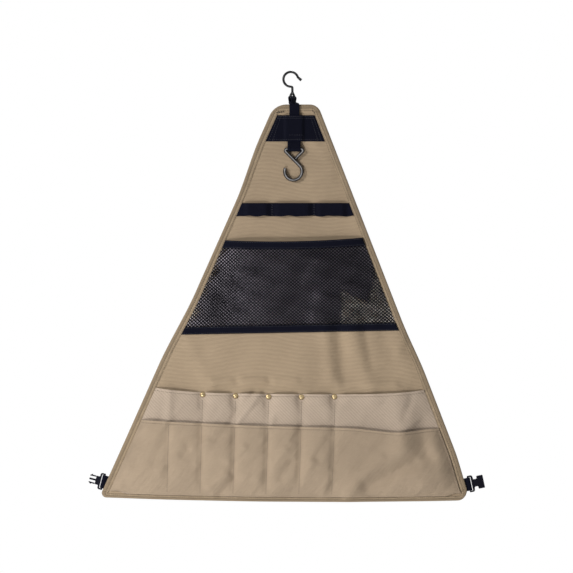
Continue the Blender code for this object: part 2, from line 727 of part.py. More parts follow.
def make_net_bands(pivot):
    """Makes the folded band round the net's mouth and the flat band over its foot."""
    middle = NET_CORD / 2 + NET_FOLD_ROOM + NET_BAND_CLOTH / 2
    section = [(NET_BAND_HEIGHT, -middle)]
    steps = ceil(pi / LOOP_STEP)
    for stop in range(steps + 1):
        angle = pi * stop / steps
        section.append((middle + NET_BAND_CLOTH / 2 - middle * sin(angle), -middle * cos(angle)))
    section.append((NET_BAND_HEIGHT, middle))
    shares = [-1 + 2 * column / NET_COLUMNS for column in range(NET_COLUMNS + 1)]
    rows = []
    for inset, offset in section:
        rows.append([net_point(share, net_mouth(share) + inset, offset) for share in shares])
    sheet("net_top_band", rows, NET_BAND_CLOTH, "dark_webbing", pivot)
    rows = []
    for rise in (0, NET_FOOT_BAND_HEIGHT):
        row = []
        for share in shares:
            forward = net_stand_off(share, rise / (NET_FOOT_DEPTH - NET_MOUTH_DEPTH))
            y = NET_Y - forward - NET_CORD / 2 - TOUCH_GAP - NET_BAND_CLOTH / 2
            row.append(panel_point(share, net_foot(share) - rise, y, inner_inset()))
        rows.append(row)
    sheet("net_bottom_band", rows, NET_BAND_CLOTH, "dark_webbing", pivot)


def rear_mouth(share):
    """Depth of the rear pockets' mouth below the panel's top edge."""
    return REAR_MOUTH_DEPTH + REAR_MOUTH_TILT * share + REAR_MOUTH_SAG * (1 - share * share)


def front_mouth(share):
    """Depth of the front pockets' mouth below the panel's top edge."""
    return FRONT_MOUTH_DEPTH + FRONT_MOUTH_TILT * share + FRONT_MOUTH_SAG * (1 - share * share)


def pocket_walls(offsets, depth):
    """Pairs of X between which each pocket of a band swells, at one depth."""
    middle = centre_x(depth)
    reach = half_width(depth) - inner_inset() - EDGE_FLAT
    starts = [middle - reach] + [middle + offset + SEAM_FLAT for offset in offsets]
    ends = [middle + offset - SEAM_FLAT for offset in offsets] + [middle + reach]
    return list(zip(starts, ends))


def swell(offsets, x, depth):
    """Share of its full swelling that a band has at a place across the panel."""
    for start, end in pocket_walls(offsets, depth):
        if start <= x <= end:
            return interpolate(PUFF_SHARES, (x - start) / (end - start))
    return 0.0


def hem_rise(depth):
    """Share of its full swelling that a band has at a depth, from none at the hem."""
    height = PANEL_HEIGHT - BINDING_WIDTH - TOUCH_GAP - depth
    return interpolate(RISE_SHARES, min(max(height / POCKET_RISE, 0), 1))


def rear_forward(x, depth):
    """How far the rear band's middle plane stands forward of its place at a seam."""
    return REAR_BULGE * swell(seam_offsets(), x, depth) * hem_rise(depth)


def front_offsets():
    """Seams of the front band: the shared ones and one more at the left."""
    shared = seam_offsets()
    return [shared[0] - POCKET_PITCH, *shared]


def front_forward(x, depth):
    """How far the front band's middle plane stands forward of the rear band's place at a seam."""
    own = FRONT_BULGE * swell(front_offsets(), x, depth) * hem_rise(depth)
    return rear_forward(x, depth) + TOUCH_GAP + POCKET_CLOTH + own


def band_rows(offsets, mouth, forward):
    """Rows of a pocket band from the hem to its mouth, with columns at each pocket's break points."""
    foot_depth = PANEL_HEIGHT - BINDING_WIDTH - TOUCH_GAP
    heights = [POCKET_RISE * share for share, _ in RISE_SHARES]
    rows = []
    for height in heights:
        rows.append([band_point(column, foot_depth - height, forward) for column in band_columns(offsets)])
    top = []
    for column in band_columns(offsets):
        x = column_x(column, mouth(0))
        share = (x - centre_x(mouth(0))) / half_width(mouth(0))
        top.append(band_point(column, mouth(share), forward))
    rows.append(top)
    return rows


def band_columns(offsets):
    """Columns of a band as (seams, pocket number, share across the pocket), left to right."""
    columns = [(offsets, -1, 0.0)]
    for number in range(len(offsets) + 1):
        columns += [(offsets, number, share) for share, _ in PUFF_SHARES]
    columns.append((offsets, -1, 1.0))
    return columns


def column_x(column, depth):
    """X of a band's column at a depth."""
    offsets, number, share = column
    if number < 0:
        reach = half_width(depth) - inner_inset()
        return centre_x(depth) + reach * (2 * share - 1)
    start, end = pocket_walls(offsets, depth)[number]
    return start + (end - start) * share


def band_point(column, depth, forward):
    """Point of a band's middle plane on one of its columns."""
    x = column_x(column, depth)
    return Vector((x, REAR_Y - forward(x, depth), PANEL_TOP_Z - depth))


def make_pocket_bands(pivot):
    """Makes both pocket bands, and the holes in the rear one for the rivets' posts."""
    rear = sheet(
        "rear_pocket_band",
        band_rows(seam_offsets(), rear_mouth, rear_forward),
        POCKET_CLOTH,
        "twill_cloth",
        pivot,
    )
    punch = bmesh.new()
    for place in rivet_places():
        matrix = Matrix.Translation(place) @ Matrix.Rotation(pi / 2, 4, "X")
        bmesh.ops.create_cone(
            punch,
            cap_ends=True,
            segments=TURNED_STEPS,
            radius1=RIVET_POST + TOUCH_GAP,
            radius2=RIVET_POST + TOUCH_GAP,
            depth=2 * (PANEL_Y - REAR_Y + CUT_OVERRUN),
            matrix=matrix,
        )
    mesh = bpy.data.meshes.new("rivet_punch")
    punch.to_mesh(mesh)
    punch.free()
    cut(rear, hide_cutter("rivet_punch", mesh))
    sheet(
        "front_pocket_band",
        band_rows(front_offsets(), front_mouth, front_forward),
        POCKET_CLOTH,
        "tan_cloth",
        pivot,
    )


def turned(name, profile, finish_name, pivot, matrix):
    """Makes a round solid from (radius, height) points that run down its outer side."""
    line = bmesh.new()
    corners = [line.verts.new((radius, 0, height)) for radius, height in profile]
    for start, end in zip(corners, corners[1:]):
        line.edges.new((start, end))
    mesh = bpy.data.meshes.new(name)
    line.to_mesh(mesh)
    line.free()
    part = link(name, mesh, finish_name, pivot)
    part.matrix_basis = matrix
    screw = part.modifiers.new("turned", "SCREW")
    screw.steps = TURNED_STEPS
    screw.render_steps = TURNED_STEPS
    screw.use_merge_vertices = True
    screw.merge_threshold = WELD_REACH
    screw.use_smooth_shade = True
    return part


def make_rivets(pivot):
    """Makes each rivet's domed cap with its post, and the plain cap that closes it behind."""
    cap_foot = PANEL_Y - REAR_Y + POCKET_CLOTH / 2 + TOUCH_GAP
    back_face = PANEL_BACK_Y + TOUCH_GAP - PANEL_Y
    dome = [(0, cap_foot + RIVET_RIM + RIVET_DOME)]
    for stop in range(1, DOME_STEPS + 1):
        angle = pi / 2 * stop / DOME_STEPS
        dome.append((RIVET_RADIUS * sin(angle), cap_foot + RIVET_RIM + RIVET_DOME * cos(angle)))
    cap = [*dome, (RIVET_RADIUS, cap_foot), (RIVET_POST, cap_foot), (RIVET_POST, -back_face), (0, -back_face)]
    top = -back_face - TOUCH_GAP
    foot = top - RIVET_BACK_THICKNESS
    shoulder = RIVET_BACK_RADIUS - RIVET_BACK_THICKNESS / 2
    back = [(0, top), (RIVET_BACK_RADIUS, top), (RIVET_BACK_RADIUS, (top + foot) / 2), (shoulder, foot), (0, foot)]
    for number, place in enumerate(rivet_places(), 1):
        matrix = Matrix.Translation(place) @ Matrix.Rotation(pi / 2, 4, "X")
        turned(f"rivet_cap_{number}", cap, "brass", pivot, matrix)
        turned(f"rivet_back_{number}", back, "brass", pivot, matrix)


def buckle_frame(side, depth, reach, tilt):
    """Frame of a buckle half: X points away from the panel, Y up its bar, the origin on the bar."""
    edge = panel_point(side, depth, BUCKLE_Y)
    outward = Vector((side * cos(tilt), 0, sin(tilt)))
    origin = edge + RIGHT * side * reach
    along = Vector((-side * outward.z, 0, abs(outward.x)))
    through = outward.cross(along)
    matrix = Matrix((outward, along, through)).transposed().to_4x4()
    matrix.translation = origin
    return matrix


def make_tab(name, frame, pivot):
    """Makes the tab that goes round a buckle's bar, its tails flat behind the binding."""
    ply = (WEBBING + WEBBING_PLY_GAP) / 2
    meet = min(MALE_BAR_REACH, FEMALE_BAR_REACH) - WEBBING / 2
    rows = []
    for away, through in loop_line(TAB_LOOP_RADIUS, -ply, ply, meet, TAB_LENGTH):
        rows.append([frame @ Vector((-away, TAB_WIDTH * side, through)) for side in EDGE_SHARES])
    sheet(name, rows, WEBBING, "dark_webbing", pivot)


def mirrored(half):
    """Closes an outline given for one side of its X axis with its mirror image."""
    return half + [(Vector((point.x, -point.y, 0)), radius) for point, radius in reversed(half)]


def slot_outline():
    """Outline of the slot that the webbing passes through, beyond the bar."""
    low = BUCKLE_BAR
    high = BUCKLE_BAR + BUCKLE_SLOT_WIDTH
    half = BUCKLE_SLOT_LENGTH / 2
    corners = [
        (Vector((low, half, 0)), BUCKLE_SLOT_CORNER),
        (Vector((high, half, 0)), BUCKLE_SLOT_CORNER),
        (Vector((high, -half, 0)), BUCKLE_SLOT_CORNER),
        (Vector((low, -half, 0)), BUCKLE_SLOT_CORNER),
    ]
    return round_corners(corners, closed=True, step=LOOP_STEP)


def place_buckle(name, mesh, frame, pivot_name, panel_pivot):
    """Puts a buckle half on the pivot at its bar and gives back the pivot."""
    pivot = make_pivot(pivot_name, frame.translation, panel_pivot)
    mesh.transform(frame)
    link(name, mesh, "black_plastic", pivot)
    return pivot


def frame_end():
    """How far the frame of a buckle half reaches from its bar's axis."""
    return BUCKLE_BAR + BUCKLE_SLOT_WIDTH + BUCKLE_CROSS_BEAM


def make_male_buckle(frame, panel_pivot):
    """Makes the pronged half: bar, slot, neck and middle guide, and two prongs that bend."""
    half = BUCKLE_LENGTH / 2
    upper = [
        (Vector((-BUCKLE_BAR, half, 0)), BUCKLE_BAR),
        (Vector((frame_end(), half, 0)), BUCKLE_CORNER),
        (Vector((frame_end(), MALE_NECK_HALF, 0)), BUCKLE_BAR),
        (Vector((MALE_NECK_END, MALE_NECK_HALF, 0)), PRONG_CORNER),
        (Vector((MALE_NECK_END, MALE_GUIDE_HALF, 0)), PRONG_CORNER),
        (Vector((MALE_TIP, MALE_GUIDE_HALF, 0)), MALE_GUIDE_HALF / 2),
    ]
    outline = round_corners(mirrored(upper), closed=True, step=LOOP_STEP)
    mesh = curve_as_mesh("male_buckle", plate_curve("male_buckle", [outline, slot_outline()], BUCKLE_FRAME))
    pivot = place_buckle("male_buckle", mesh, frame, "male_buckle_pivot", panel_pivot)
    for name, side in (("male_prong_upper", 1), ("male_prong_lower", -1)):
        root = MALE_NECK_END + PRONG_ROOT_GAP
        arm = [
            (Vector((root, MALE_NECK_HALF, 0)), PRONG_CORNER),
            (Vector((PRONG_SHOULDER, MALE_NECK_HALF, 0)), PRONG_CORNER / 2),
            (Vector((PRONG_SHOULDER, PRONG_BARB_HALF, 0)), PRONG_CORNER),
            (Vector((MALE_TIP, PRONG_TIP_HALF, 0)), PRONG_CORNER),
            (Vector((MALE_TIP, PRONG_TIP_HALF - PRONG_WIDTH / 2, 0)), PRONG_CORNER / 2),
            (Vector((root, MALE_NECK_HALF - PRONG_WIDTH, 0)), PRONG_CORNER),
        ]
        arm = [(Vector((point.x, point.y * side, 0)), radius) for point, radius in arm]
        shape = round_corners(arm, closed=True, step=LOOP_STEP)
        prong = curve_as_mesh(name, plate_curve(name, [shape], PRONG_HALF_THICKNESS))
        hinge = frame @ Vector((root, side * (MALE_NECK_HALF - PRONG_WIDTH / 2), 0))
        prong_pivot = make_pivot(name + "_pivot", hinge, pivot)
        prong.transform(frame)
        link(name, prong, "black_plastic", prong_pivot)


def make_female_buckle(frame, panel_pivot):
    """Makes the hollow half: bar, slot, a waist between side windows and an open mouth."""
    half = BUCKLE_LENGTH / 2
    upper = [
        (Vector((-BUCKLE_BAR, half, 0)), BUCKLE_BAR),
        (Vector((frame_end(), half, 0)), BUCKLE_CORNER),
        (Vector((FEMALE_WAIST_START, FEMALE_WAIST_HALF, 0)), BUCKLE_BAR),
        (Vector((FEMALE_COLLAR_START, FEMALE_WAIST_HALF, 0)), BUCKLE_CORNER / 2),
        (Vector((FEMALE_COLLAR_START, FEMALE_COLLAR_HALF, 0)), BUCKLE_BAR),
        (Vector((FEMALE_COLLAR_END, FEMALE_COLLAR_HALF, 0)), BUCKLE_BAR / 2),
    ]
    outline = round_corners(mirrored(upper), closed=True, step=LOOP_STEP)
    curve = plate_curve("female_buckle", [outline, slot_outline()], FEMALE_HALF_THICKNESS)
    mesh = curve_as_mesh("female_buckle", curve)
    place_buckle("female_buckle", mesh, frame, "female_buckle_pivot", panel_pivot)
    buckle = PARTS.objects["female_buckle"]
    low = (-BUCKLE_BAR - CUT_OVERRUN, -half - CUT_OVERRUN, BUCKLE_FRAME)
    high = (FEMALE_WAIST_START - TOUCH_GAP, half + CUT_OVERRUN, FEMALE_HALF_THICKNESS + CUT_OVERRUN)
    for name, turn in (("female_front_relief", 0), ("female_rear_relief", pi)):
        cut(buckle, box_cutter(name, low, high, frame @ Matrix.Rotation(turn, 4, "X")))
    wall = FEMALE_HALF_THICKNESS - FEMALE_WALL
    low = (FEMALE_WAIST_START + FEMALE_WALL, -FEMALE_COLLAR_HALF + FEMALE_WALL, -wall)
    high = (FEMALE_COLLAR_END + CUT_OVERRUN, FEMALE_COLLAR_HALF - FEMALE_WALL, wall)
    cut(buckle, box_cutter("female_mouth", low, high, frame))


def main():
    """Builds every part under the pivots that it moves with."""
    panel_pivot = make_pivot("panel_pivot", Vector((HANG_BAR_X, 0, HANG_BAR_Z)))
    make_hang_hook()
    make_hanging_strap(panel_pivot)
    make_backing_panel(panel_pivot)
    make_bindings(panel_pivot)
    make_apex_patch(panel_pivot)
    make_front_loop(panel_pivot)
    bar_middle = Vector((FRONT_HOOK_SHIFT, FRONT_BAR_Y, FRONT_BAR_Z))
    make_front_hook(make_pivot("front_hook_pivot", bar_middle, panel_pivot))
    make_webbing_rail(panel_pivot)
    make_net_panel(panel_pivot)
    make_net_bands(panel_pivot)
    make_pocket_bands(panel_pivot)
    make_rivets(panel_pivot)
    male_frame = buckle_frame(-1, MALE_DEPTH, MALE_BAR_REACH, MALE_TILT)
    female_frame = buckle_frame(1, FEMALE_DEPTH, FEMALE_BAR_REACH, FEMALE_TILT)
    make_tab("left_tab", male_frame, panel_pivot)
    make_tab("right_tab", female_frame, panel_pivot)
    make_male_buckle(male_frame, panel_pivot)
    make_female_buckle(female_frame, panel_pivot)
    bpy.context.view_layer.update()


PARTS, CUTTERS = clear_scene()
main()
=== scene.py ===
"""Looks of a hanging camp kitchen organizer: cloth, webbing, net, rivets, wire hooks and buckle halves.

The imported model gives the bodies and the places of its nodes. Every sewn piece is laid on one outline
of the panel and stands off it by one drape, so that the layers lie together. Metres, X to the right,
Z up, and the pockets face -Y.
"""

import logging
from dataclasses import dataclass, field
from enum import Enum
from math import acos, atan2, ceil, cos, hypot, pi, radians, sin, tan
from typing import Callable, Sequence

import bmesh
import bpy
import numpy as np
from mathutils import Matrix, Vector


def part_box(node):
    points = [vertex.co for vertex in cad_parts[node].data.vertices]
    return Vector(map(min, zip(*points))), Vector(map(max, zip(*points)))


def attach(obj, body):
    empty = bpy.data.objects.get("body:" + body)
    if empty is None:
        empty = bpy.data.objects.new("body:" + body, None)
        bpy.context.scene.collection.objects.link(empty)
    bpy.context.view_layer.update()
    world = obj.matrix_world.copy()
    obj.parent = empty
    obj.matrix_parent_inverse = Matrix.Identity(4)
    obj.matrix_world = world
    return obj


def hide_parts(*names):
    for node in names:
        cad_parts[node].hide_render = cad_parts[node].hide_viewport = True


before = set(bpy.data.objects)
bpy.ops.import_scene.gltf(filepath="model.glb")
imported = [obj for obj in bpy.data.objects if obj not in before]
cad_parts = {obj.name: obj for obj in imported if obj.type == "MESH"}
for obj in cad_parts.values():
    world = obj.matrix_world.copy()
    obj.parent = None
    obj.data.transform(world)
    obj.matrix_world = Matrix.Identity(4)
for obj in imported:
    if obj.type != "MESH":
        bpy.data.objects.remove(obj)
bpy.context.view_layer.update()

LOG = logging.getLogger("camp_kitchen_organizer")
WEAVE_MAP = "weave"
WEAR_AND_PAINTED_LIGHT = "wear_and_painted_light"
TENTHS = 10000.0
CLOUDY = (0.3, 0.7)
WAVY = (-1.0, 1.0)
SEEN_RAYS = ("Is Camera Ray", "Is Glossy Ray", "Is Transmission Ray")
HANG_BAR = (0.003, -0.0479926)
EYE_TURN = radians(62)
FRONT_BAR = (0.0062, -0.00185, -0.1454926)
LOOP_WIDTH = 0.025

Array = np.ndarray
Pair = tuple[float, float]
Triple = tuple[float, float, float]
Colour = Triple
Inputs = dict[str | int, object]
Material = bpy.types.Material
Span = tuple[float, float, float, float]
Socket = bpy.types.NodeSocket
Piece = bpy.types.Object
MADE: dict[str, Material] = {}


class Body(Enum):
    """Rigid bodies that the made pieces ride on."""

    HOOK = "hook"
    PANEL = "panel"
    LOWER_HOOK = "lower_hook"


class Weave(Enum):
    """How the threads of a cloth cross."""

    PLAIN = "plain"
    TWILL = "twill"
    CHEVRON = "chevron"
    KNIT = "knit"


class Grain(Enum):
    """Which way a cloth's threads run on its piece."""

    UPRIGHT = "upright"
    ALONG = "along"


class Row(Enum):
    """Which of the two rows of pockets."""

    REAR = "rear"
    FRONT = "front"


def smooth_step(low: float, high: float, value: Array | float) -> Array:
    """Gives 0 before low, 1 after high and a smooth rise between them."""
    share = np.clip((np.asarray(value, float) - low) / (high - low), 0.0, 1.0)
    return share * share * (3.0 - 2.0 * share)


def plateau(span: Span, value: Array | float) -> Array:
    """Gives a smooth rise to 1 between a span's first two values and a fall to 0 between its last two."""
    return smooth_step(span[0], span[1], value) * (1 - smooth_step(span[2], span[3], value))


def hill(value: Array | float, centre: float, reach: float) -> Array:
    """Gives a smooth hill, 1 at its centre and about a third at its reach from there."""
    return np.exp(-(((np.asarray(value, float) - centre) / reach) ** 2))


def run_along(line: Array) -> Array:
    """Gives each point's distance from a line's start, measured along the line."""
    return np.concatenate(([0.0], np.cumsum(np.linalg.norm(np.diff(line, axis=0), axis=1))))


def read_at(stops: Array, run: Array, rows: Array) -> Array:
    """Reads rows of values, given at rising distances, at other distances."""
    return np.stack([np.interp(stops, run, rows[:, axis]) for axis in range(rows.shape[1])], axis=1)


def rounded(
    corner: Vector, sides: tuple[Vector, Vector], radius: float, steps: int, inset: float = 0.0
) -> list[Vector]:
    """Rounds one corner with an arc.

    Args:
        corner: The sharp corner.
        sides: Unit directions from it along its two sides.
        radius: Radius of the arc.
        steps: Stretches in the arc.
        inset: How far both sides are moved inward.

    Returns:
        Points of the arc, from the first side to the second.
    """
    half = sides[0].angle(sides[1]) / 2
    bisector = (sides[0] + sides[1]).normalized()
    centre = corner + bisector * (inset + radius) / sin(half)
    first, last = ((side * cos(half) - bisector) * radius / sin(half) for side in sides)
    turn = pi - 2 * half
    angles = [turn * step / steps for step in range(steps + 1)]
    return [centre + (first * sin(turn - angle) + last * sin(angle)) / sin(turn) for angle in angles]


class NodeBoard:
    """The nodes of a material or of the room's light, laid with short calls."""

    def __init__(self, owner: Material | bpy.types.World, shader: str = "Principled BSDF") -> None:
        """Starts on the nodes that a new owner has.

        Args:
            owner: Material or world that the nodes belong to.
            shader: Name of its one shader.
        """
        owner.use_nodes = True
        self.owner = owner
        self.tree = owner.node_tree
        self.shader = self.tree.nodes[shader]

    def feed(self, socket: Socket, value: object) -> None:
        """Links a socket to another one, or sets its plain value.

        Args:
            socket: Input that is fed.
            value: Output socket, number or colour.
        """
        if isinstance(value, bpy.types.NodeSocket):
            self.tree.links.new(value, socket)
        else:
            socket.default_value = value

    def add(self, kind: str, inputs: Inputs | None = None, **settings: object) -> bpy.types.Node:
        """Adds a node.

        Args:
            kind: Blender's name of the node type.
            inputs: What feeds its inputs, by their names or numbers.
            **settings: Values of the node's own properties.

        Returns:
            The node.
        """
        node = self.tree.nodes.new(kind)
        for name, value in settings.items():
            setattr(node, name, value)
        for name, value in (inputs or {}).items():
            self.feed(node.inputs[name], value)
        return node

    def math(self, operation: str, first: object, second: object = 0.0) -> Socket:
        """Gives the result of a Math node, by Blender's name of its operation."""
        return self.add("ShaderNodeMath", {0: first, 1: second}, operation=operation).outputs[0]

    def times(self, first: object, second: object) -> Socket:
        """Multiplies two values."""
        return self.math("MULTIPLY", first, second)

    def wave(self, place: Socket, rate: float) -> Socket:
        """Gives a sine wave over a place, by how far it turns in a metre."""
        return self.math("SINE", self.times(place, rate))

    def spread(self, value: Socket, low: float, high: float, to_low: float, to_high: float) -> Socket:
        """Maps the values from low to high to those from to_low to to_high."""
        inputs = {"Value": value, "From Min": low, "From Max": high, "To Min": to_low, "To Max": to_high}
        return self.add("ShaderNodeMapRange", inputs).outputs["Result"]

    def blend(self, share: object, first: object, second: object, mode: str = "MIX") -> Socket:
        """Mixes two colours.

        Args:
            share: How much of the second one shows.
            first: First colour or socket.
            second: Second colour or socket.
            mode: Blender's name of the way to mix.

        Returns:
            The colour's socket.
        """
        node = self.add("ShaderNodeMix", data_type="RGBA", blend_type=mode)
        for number, value in ((0, share), (6, first), (7, second)):
            self.feed(node.inputs[number], value)
        return node.outputs[2]

    def grey(self, tone: Socket) -> Socket:
        """Turns a tone into a grey colour."""
        return self.add("ShaderNodeCombineColor", {0: tone, 1: tone, 2: tone}).outputs["Color"]

    def noise(self, place: Socket, scale: float, detail: float = 3.0, roughness: float = 0.55) -> Socket:
        """Gives noise about 0.5, by its clouds in a metre and its finer layers' number and strength."""
        inputs = {"Vector": place, "Scale": scale, "Detail": detail, "Roughness": roughness}
        return self.add("ShaderNodeTexNoise", inputs).outputs["Fac"]

    def vary(self, noise: Socket, amount: float) -> Socket:
        """Turns cloudy noise into a factor about 1 that is off it by an amount at most."""
        return self.spread(noise, *CLOUDY, 1.0 - amount, 1.0 + amount)

    def stretched(self, place: Socket, scale: Triple) -> Socket:
        """Stretches coordinates by a factor along each axis, so that noise read at them runs into streaks."""
        return self.add("ShaderNodeMapping", {"Vector": place, "Scale": scale}).outputs["Vector"]

    def own_place(self) -> Socket:
        """Gives the place by the piece's own axes."""
        return self.add("ShaderNodeTexCoord").outputs["Object"]

    def axes(self, place: Socket) -> tuple[Socket, Socket, Socket]:
        """Splits a place or a direction into X, Y and Z."""
        return tuple(self.add("ShaderNodeSeparateXYZ", {0: place}).outputs)

    def forward(self, fully: float, never: float) -> Socket:
        """Gives 1 where the normal's own Y is at most fully, and 0 where it is at least never."""
        normal = self.add("ShaderNodeTexCoord").outputs["Normal"]
        return self.spread(self.axes(normal)[1], fully, never, 1.0, 0.0)

    def seen(self) -> Socket:
        """Gives 1 for what is looked at, straight or in a shine, and 0 for the light that it casts.

        Returns:
            The share's socket.
        """
        rays = self.add("ShaderNodeLightPath").outputs
        share = rays[SEEN_RAYS[0]]
        for name in SEEN_RAYS[1:]:
            share = self.math("MAXIMUM", share, rays[name])
        return share

    def bump(self, height: Socket, depth: float, under: Socket | None = None) -> Socket:
        """Raises the surface by a height map.

        Args:
            height: Height from 0 to 1.
            depth: Height in metres where the map is 1.
            under: Normal of a coarser bump that this one lies on.

        Returns:
            The normal's socket.
        """
        node = self.add("ShaderNodeBump", {"Height": height, "Distance": depth, "Strength": 1.0})
        if under is not None:
            self.feed(node.inputs["Normal"], under)
        return node.outputs["Normal"]

    def set_shader(self, **values: object) -> None:
        """Feeds the shader's inputs; an underscore in a name stands for a space."""
        for name, value in values.items():
            self.feed(self.shader.inputs[name.replace("_", " ")], value)


@dataclass(frozen=True)
class Finish:
    """One surface of the organizer, with the name of its slot."""

    name: str
    slot: str
    colour: Colour

    def material(self) -> Material:
        """Gives the material, made when it is first asked for.

        Returns:
            The material.
        """
        if self.name not in MADE:
            MADE[self.name] = self.make()
        return MADE[self.name]

    def make(self) -> Material:
        """Makes the material; each kind of finish has its own."""
        raise NotImplementedError

    def board(self) -> NodeBoard:
        """Starts the nodes of a new material with the finish's name."""
        return NodeBoard(bpy.data.materials.new(self.name))

    def shade(self, factor: float) -> tuple[float, float, float, float]:
        """Gives the colour, lighter or darker by a factor, as a socket takes it."""
        return (*(min(channel * factor, 1.0) for channel in self.colour), 1.0)


@dataclass(frozen=True)
class ClothFinish(Finish):
    """Woven or knitted cloth, with threads, slubs, cloudy fading, soft wrinkles and rubbed edges; shade is
    painted in the thread hollows and rib troughs, and light is painted where a pale colour is given.
    """

    weave: Weave
    pitch: float
    thread_depth: float
    painted_hollow_shade: float = 0.2
    clouds: float = 0.08
    cloud_scale: float = 9.0
    slubs: float = 0.04
    slub_scale: Triple = (60.0, 900.0, 1.0)
    speckles: float = 0.03
    speckle_scale: float = 700.0
    wrinkle_depth: float = 0.0008
    wrinkle_slant: float = radians(48)
    wrinkle_size: Triple = (0.075, 0.022, 1.0)
    rubbed_and_painted_light: float = 1.25
    rubbed_scale: float = 120.0
    # Pale colour painted as light on the marked places that face forward.
    painted_light: Colour | None = None
    roughness: float = 0.88
    hollows: float = 0.08
    sheen: float = 0.1
    gloss: float = 0.2
    rib_pitch: float = 0.0075
    rib_bend: float = 2.2
    rib_curve: float = 26.0
    rib_painted_shade: float = 0.0
    rib_depth: float = 0.0
    zigzag: float = 2.5

    def make(self) -> Material:
        """Makes the cloth's material.

        Returns:
            The material.
        """
        board = self.board()
        weave_map = board.add("ShaderNodeUVMap", uv_map=WEAVE_MAP).outputs["UV"]
        across, along, _ = board.axes(weave_map)
        threads = self.thread_height(board, across, along)
        clouds = board.noise(weave_map, self.cloud_scale, detail=4.0)
        slubs = board.noise(board.stretched(weave_map, self.slub_scale), 1.0, detail=2.0)
        speckles = board.noise(weave_map, self.speckle_scale, detail=1.0)
        ribs = self.ribs(board, across, along, clouds)
        tone = board.times(board.vary(clouds, self.clouds), board.vary(slubs, self.slubs))
        tone = board.times(tone, board.vary(speckles, self.speckles))
        # Painted shade: the hollows between the threads are drawn darker, and the ribs' troughs are drawn
        # darker than their crests, which are drawn lighter.
        tone = board.times(tone, board.spread(threads, 0.0, 1.0, 1.0 - self.painted_hollow_shade, 1.0))
        tone = board.times(tone, board.spread(ribs, *WAVY, 1.0 - self.rib_painted_shade, 1.0 + self.rib_painted_shade))
        base = board.blend(1.0, self.shade(1.0 + self.painted_hollow_shade / 2), board.grey(tone), "MULTIPLY")
        wear_and_painted_light = board.add("ShaderNodeAttribute", attribute_name=WEAR_AND_PAINTED_LIGHT).outputs["Fac"]
        patchy = board.spread(board.noise(weave_map, self.rubbed_scale), 0.35, 0.65, 0.35, 1.0)
        worn_and_painted_light = self.shade(self.rubbed_and_painted_light)
        # Painted light: a pale colour given here is painted on the marked places that face forward.
        if self.painted_light is not None:
            worn_and_painted_light = (*self.painted_light, 1.0)
            wear_and_painted_light = board.times(wear_and_painted_light, board.forward(-0.5, 0.0))
        colour = board.blend(board.times(wear_and_painted_light, patchy), base, worn_and_painted_light)
        spans = {"Vector": weave_map, "Rotation": (0.0, 0.0, self.wrinkle_slant), "Scale": self.wrinkle_size}
        creased = board.add("ShaderNodeMapping", spans, vector_type="TEXTURE").outputs["Vector"]
        normal = board.bump(board.noise(creased, 1.0, roughness=0.45), self.wrinkle_depth)
        normal = board.bump(ribs, self.rib_depth, normal)
        normal = board.bump(threads, self.thread_depth, normal)
        rough = board.spread(threads, 0.0, 1.0, min(self.roughness + self.hollows, 1.0), self.roughness)
        board.set_shader(Base_Color=colour, Normal=normal, Roughness=rough)
        board.set_shader(Sheen_Weight=self.sheen, Sheen_Roughness=0.5, Specular_IOR_Level=self.gloss)
        return board.owner

    def ribs(self, board: NodeBoard, across: Socket, along: Socket, clouds: Socket) -> Socket:
        """Gives the faint cross ribs that run a little unevenly over the cloth.

        Args:
            board: Board that the nodes are laid on.
            across: Place across the cloth.
            along: Place along the cloth.
            clouds: Noise that bends the ribs.

        Returns:
            The ribs' height from -1 to 1.
        """
        bend = board.times(clouds, self.rib_bend * self.rib_pitch)
        curve = board.times(board.wave(across, self.rib_curve), self.rib_pitch)
        place = board.math("ADD", board.math("ADD", along, bend), curve)
        return board.wave(place, 2.0 * pi / self.rib_pitch)

    def thread_height(self, board: NodeBoard, across: Socket, along: Socket) -> Socket:
        """Gives the height of the threads, from 0 between them to 1 on top of them.

        Args:
            board: Board that the nodes are laid on.
            across: Place across the cloth, in metres.
            along: Place along the cloth, in metres.

        Returns:
            The height's socket.
        """
        half_turn = pi / self.pitch
        if self.weave is Weave.TWILL:
            lines = board.wave(board.math("ADD", across, along), half_turn * hypot(1, 1))
            return board.spread(lines, *WAVY, 0.0, 1.0)
        if self.weave is Weave.CHEVRON:
            zigzag = board.math("PINGPONG", along, self.zigzag * self.pitch)
            lines = board.wave(board.math("ADD", across, zigzag), half_turn * 2.0)
            return board.spread(lines, *WAVY, 0.0, 1.0)
        warp, weft = (board.math("ABSOLUTE", board.wave(place, half_turn)) for place in (across, along))
        if self.weave is Weave.KNIT:
            return board.times(warp, weft)
        place = board.add("ShaderNodeCombineXYZ", {0: across, 1: along, 2: self.pitch / 2}).outputs[0]
        over = board.add("ShaderNodeTexChecker", {"Vector": place, "Scale": 1.0 / self.pitch}).outputs["Fac"]
        under = board.math("SUBTRACT", 1.0, over)
        return board.math("ADD", board.times(warp, over), board.times(weft, under))


@dataclass(frozen=True)
class ThreadFinish(Finish):
    """Twisted sewing thread."""

    twist: float = 0.0009
    ply_depth: float = 0.00008
    painted_ply_shades: Pair = (0.75, 1.15)
    patch_scale: float = 60.0

    def make(self) -> Material:
        """Makes the thread's material.

        Returns:
            The material.
        """
        board = self.board()
        place = board.own_place()
        x, _, z = board.axes(place)
        plies = board.wave(board.math("ADD", x, z), 2.0 * pi / self.twist)
        height = board.spread(plies, *WAVY, 0.0, 1.0)
        patchy = board.spread(board.noise(place, self.patch_scale), *CLOUDY, 0.4, 1.0)
        # Painted shade and highlight: the twist's grooves are drawn darker and its crests lighter.
        low, high = (self.shade(factor) for factor in self.painted_ply_shades)
        colour = board.blend(board.times(height, patchy), low, high)
        board.set_shader(Base_Color=colour, Normal=board.bump(height, self.ply_depth))
        board.set_shader(Roughness=0.6, Sheen_Weight=0.2, Specular_IOR_Level=0.35)
        return board.owner


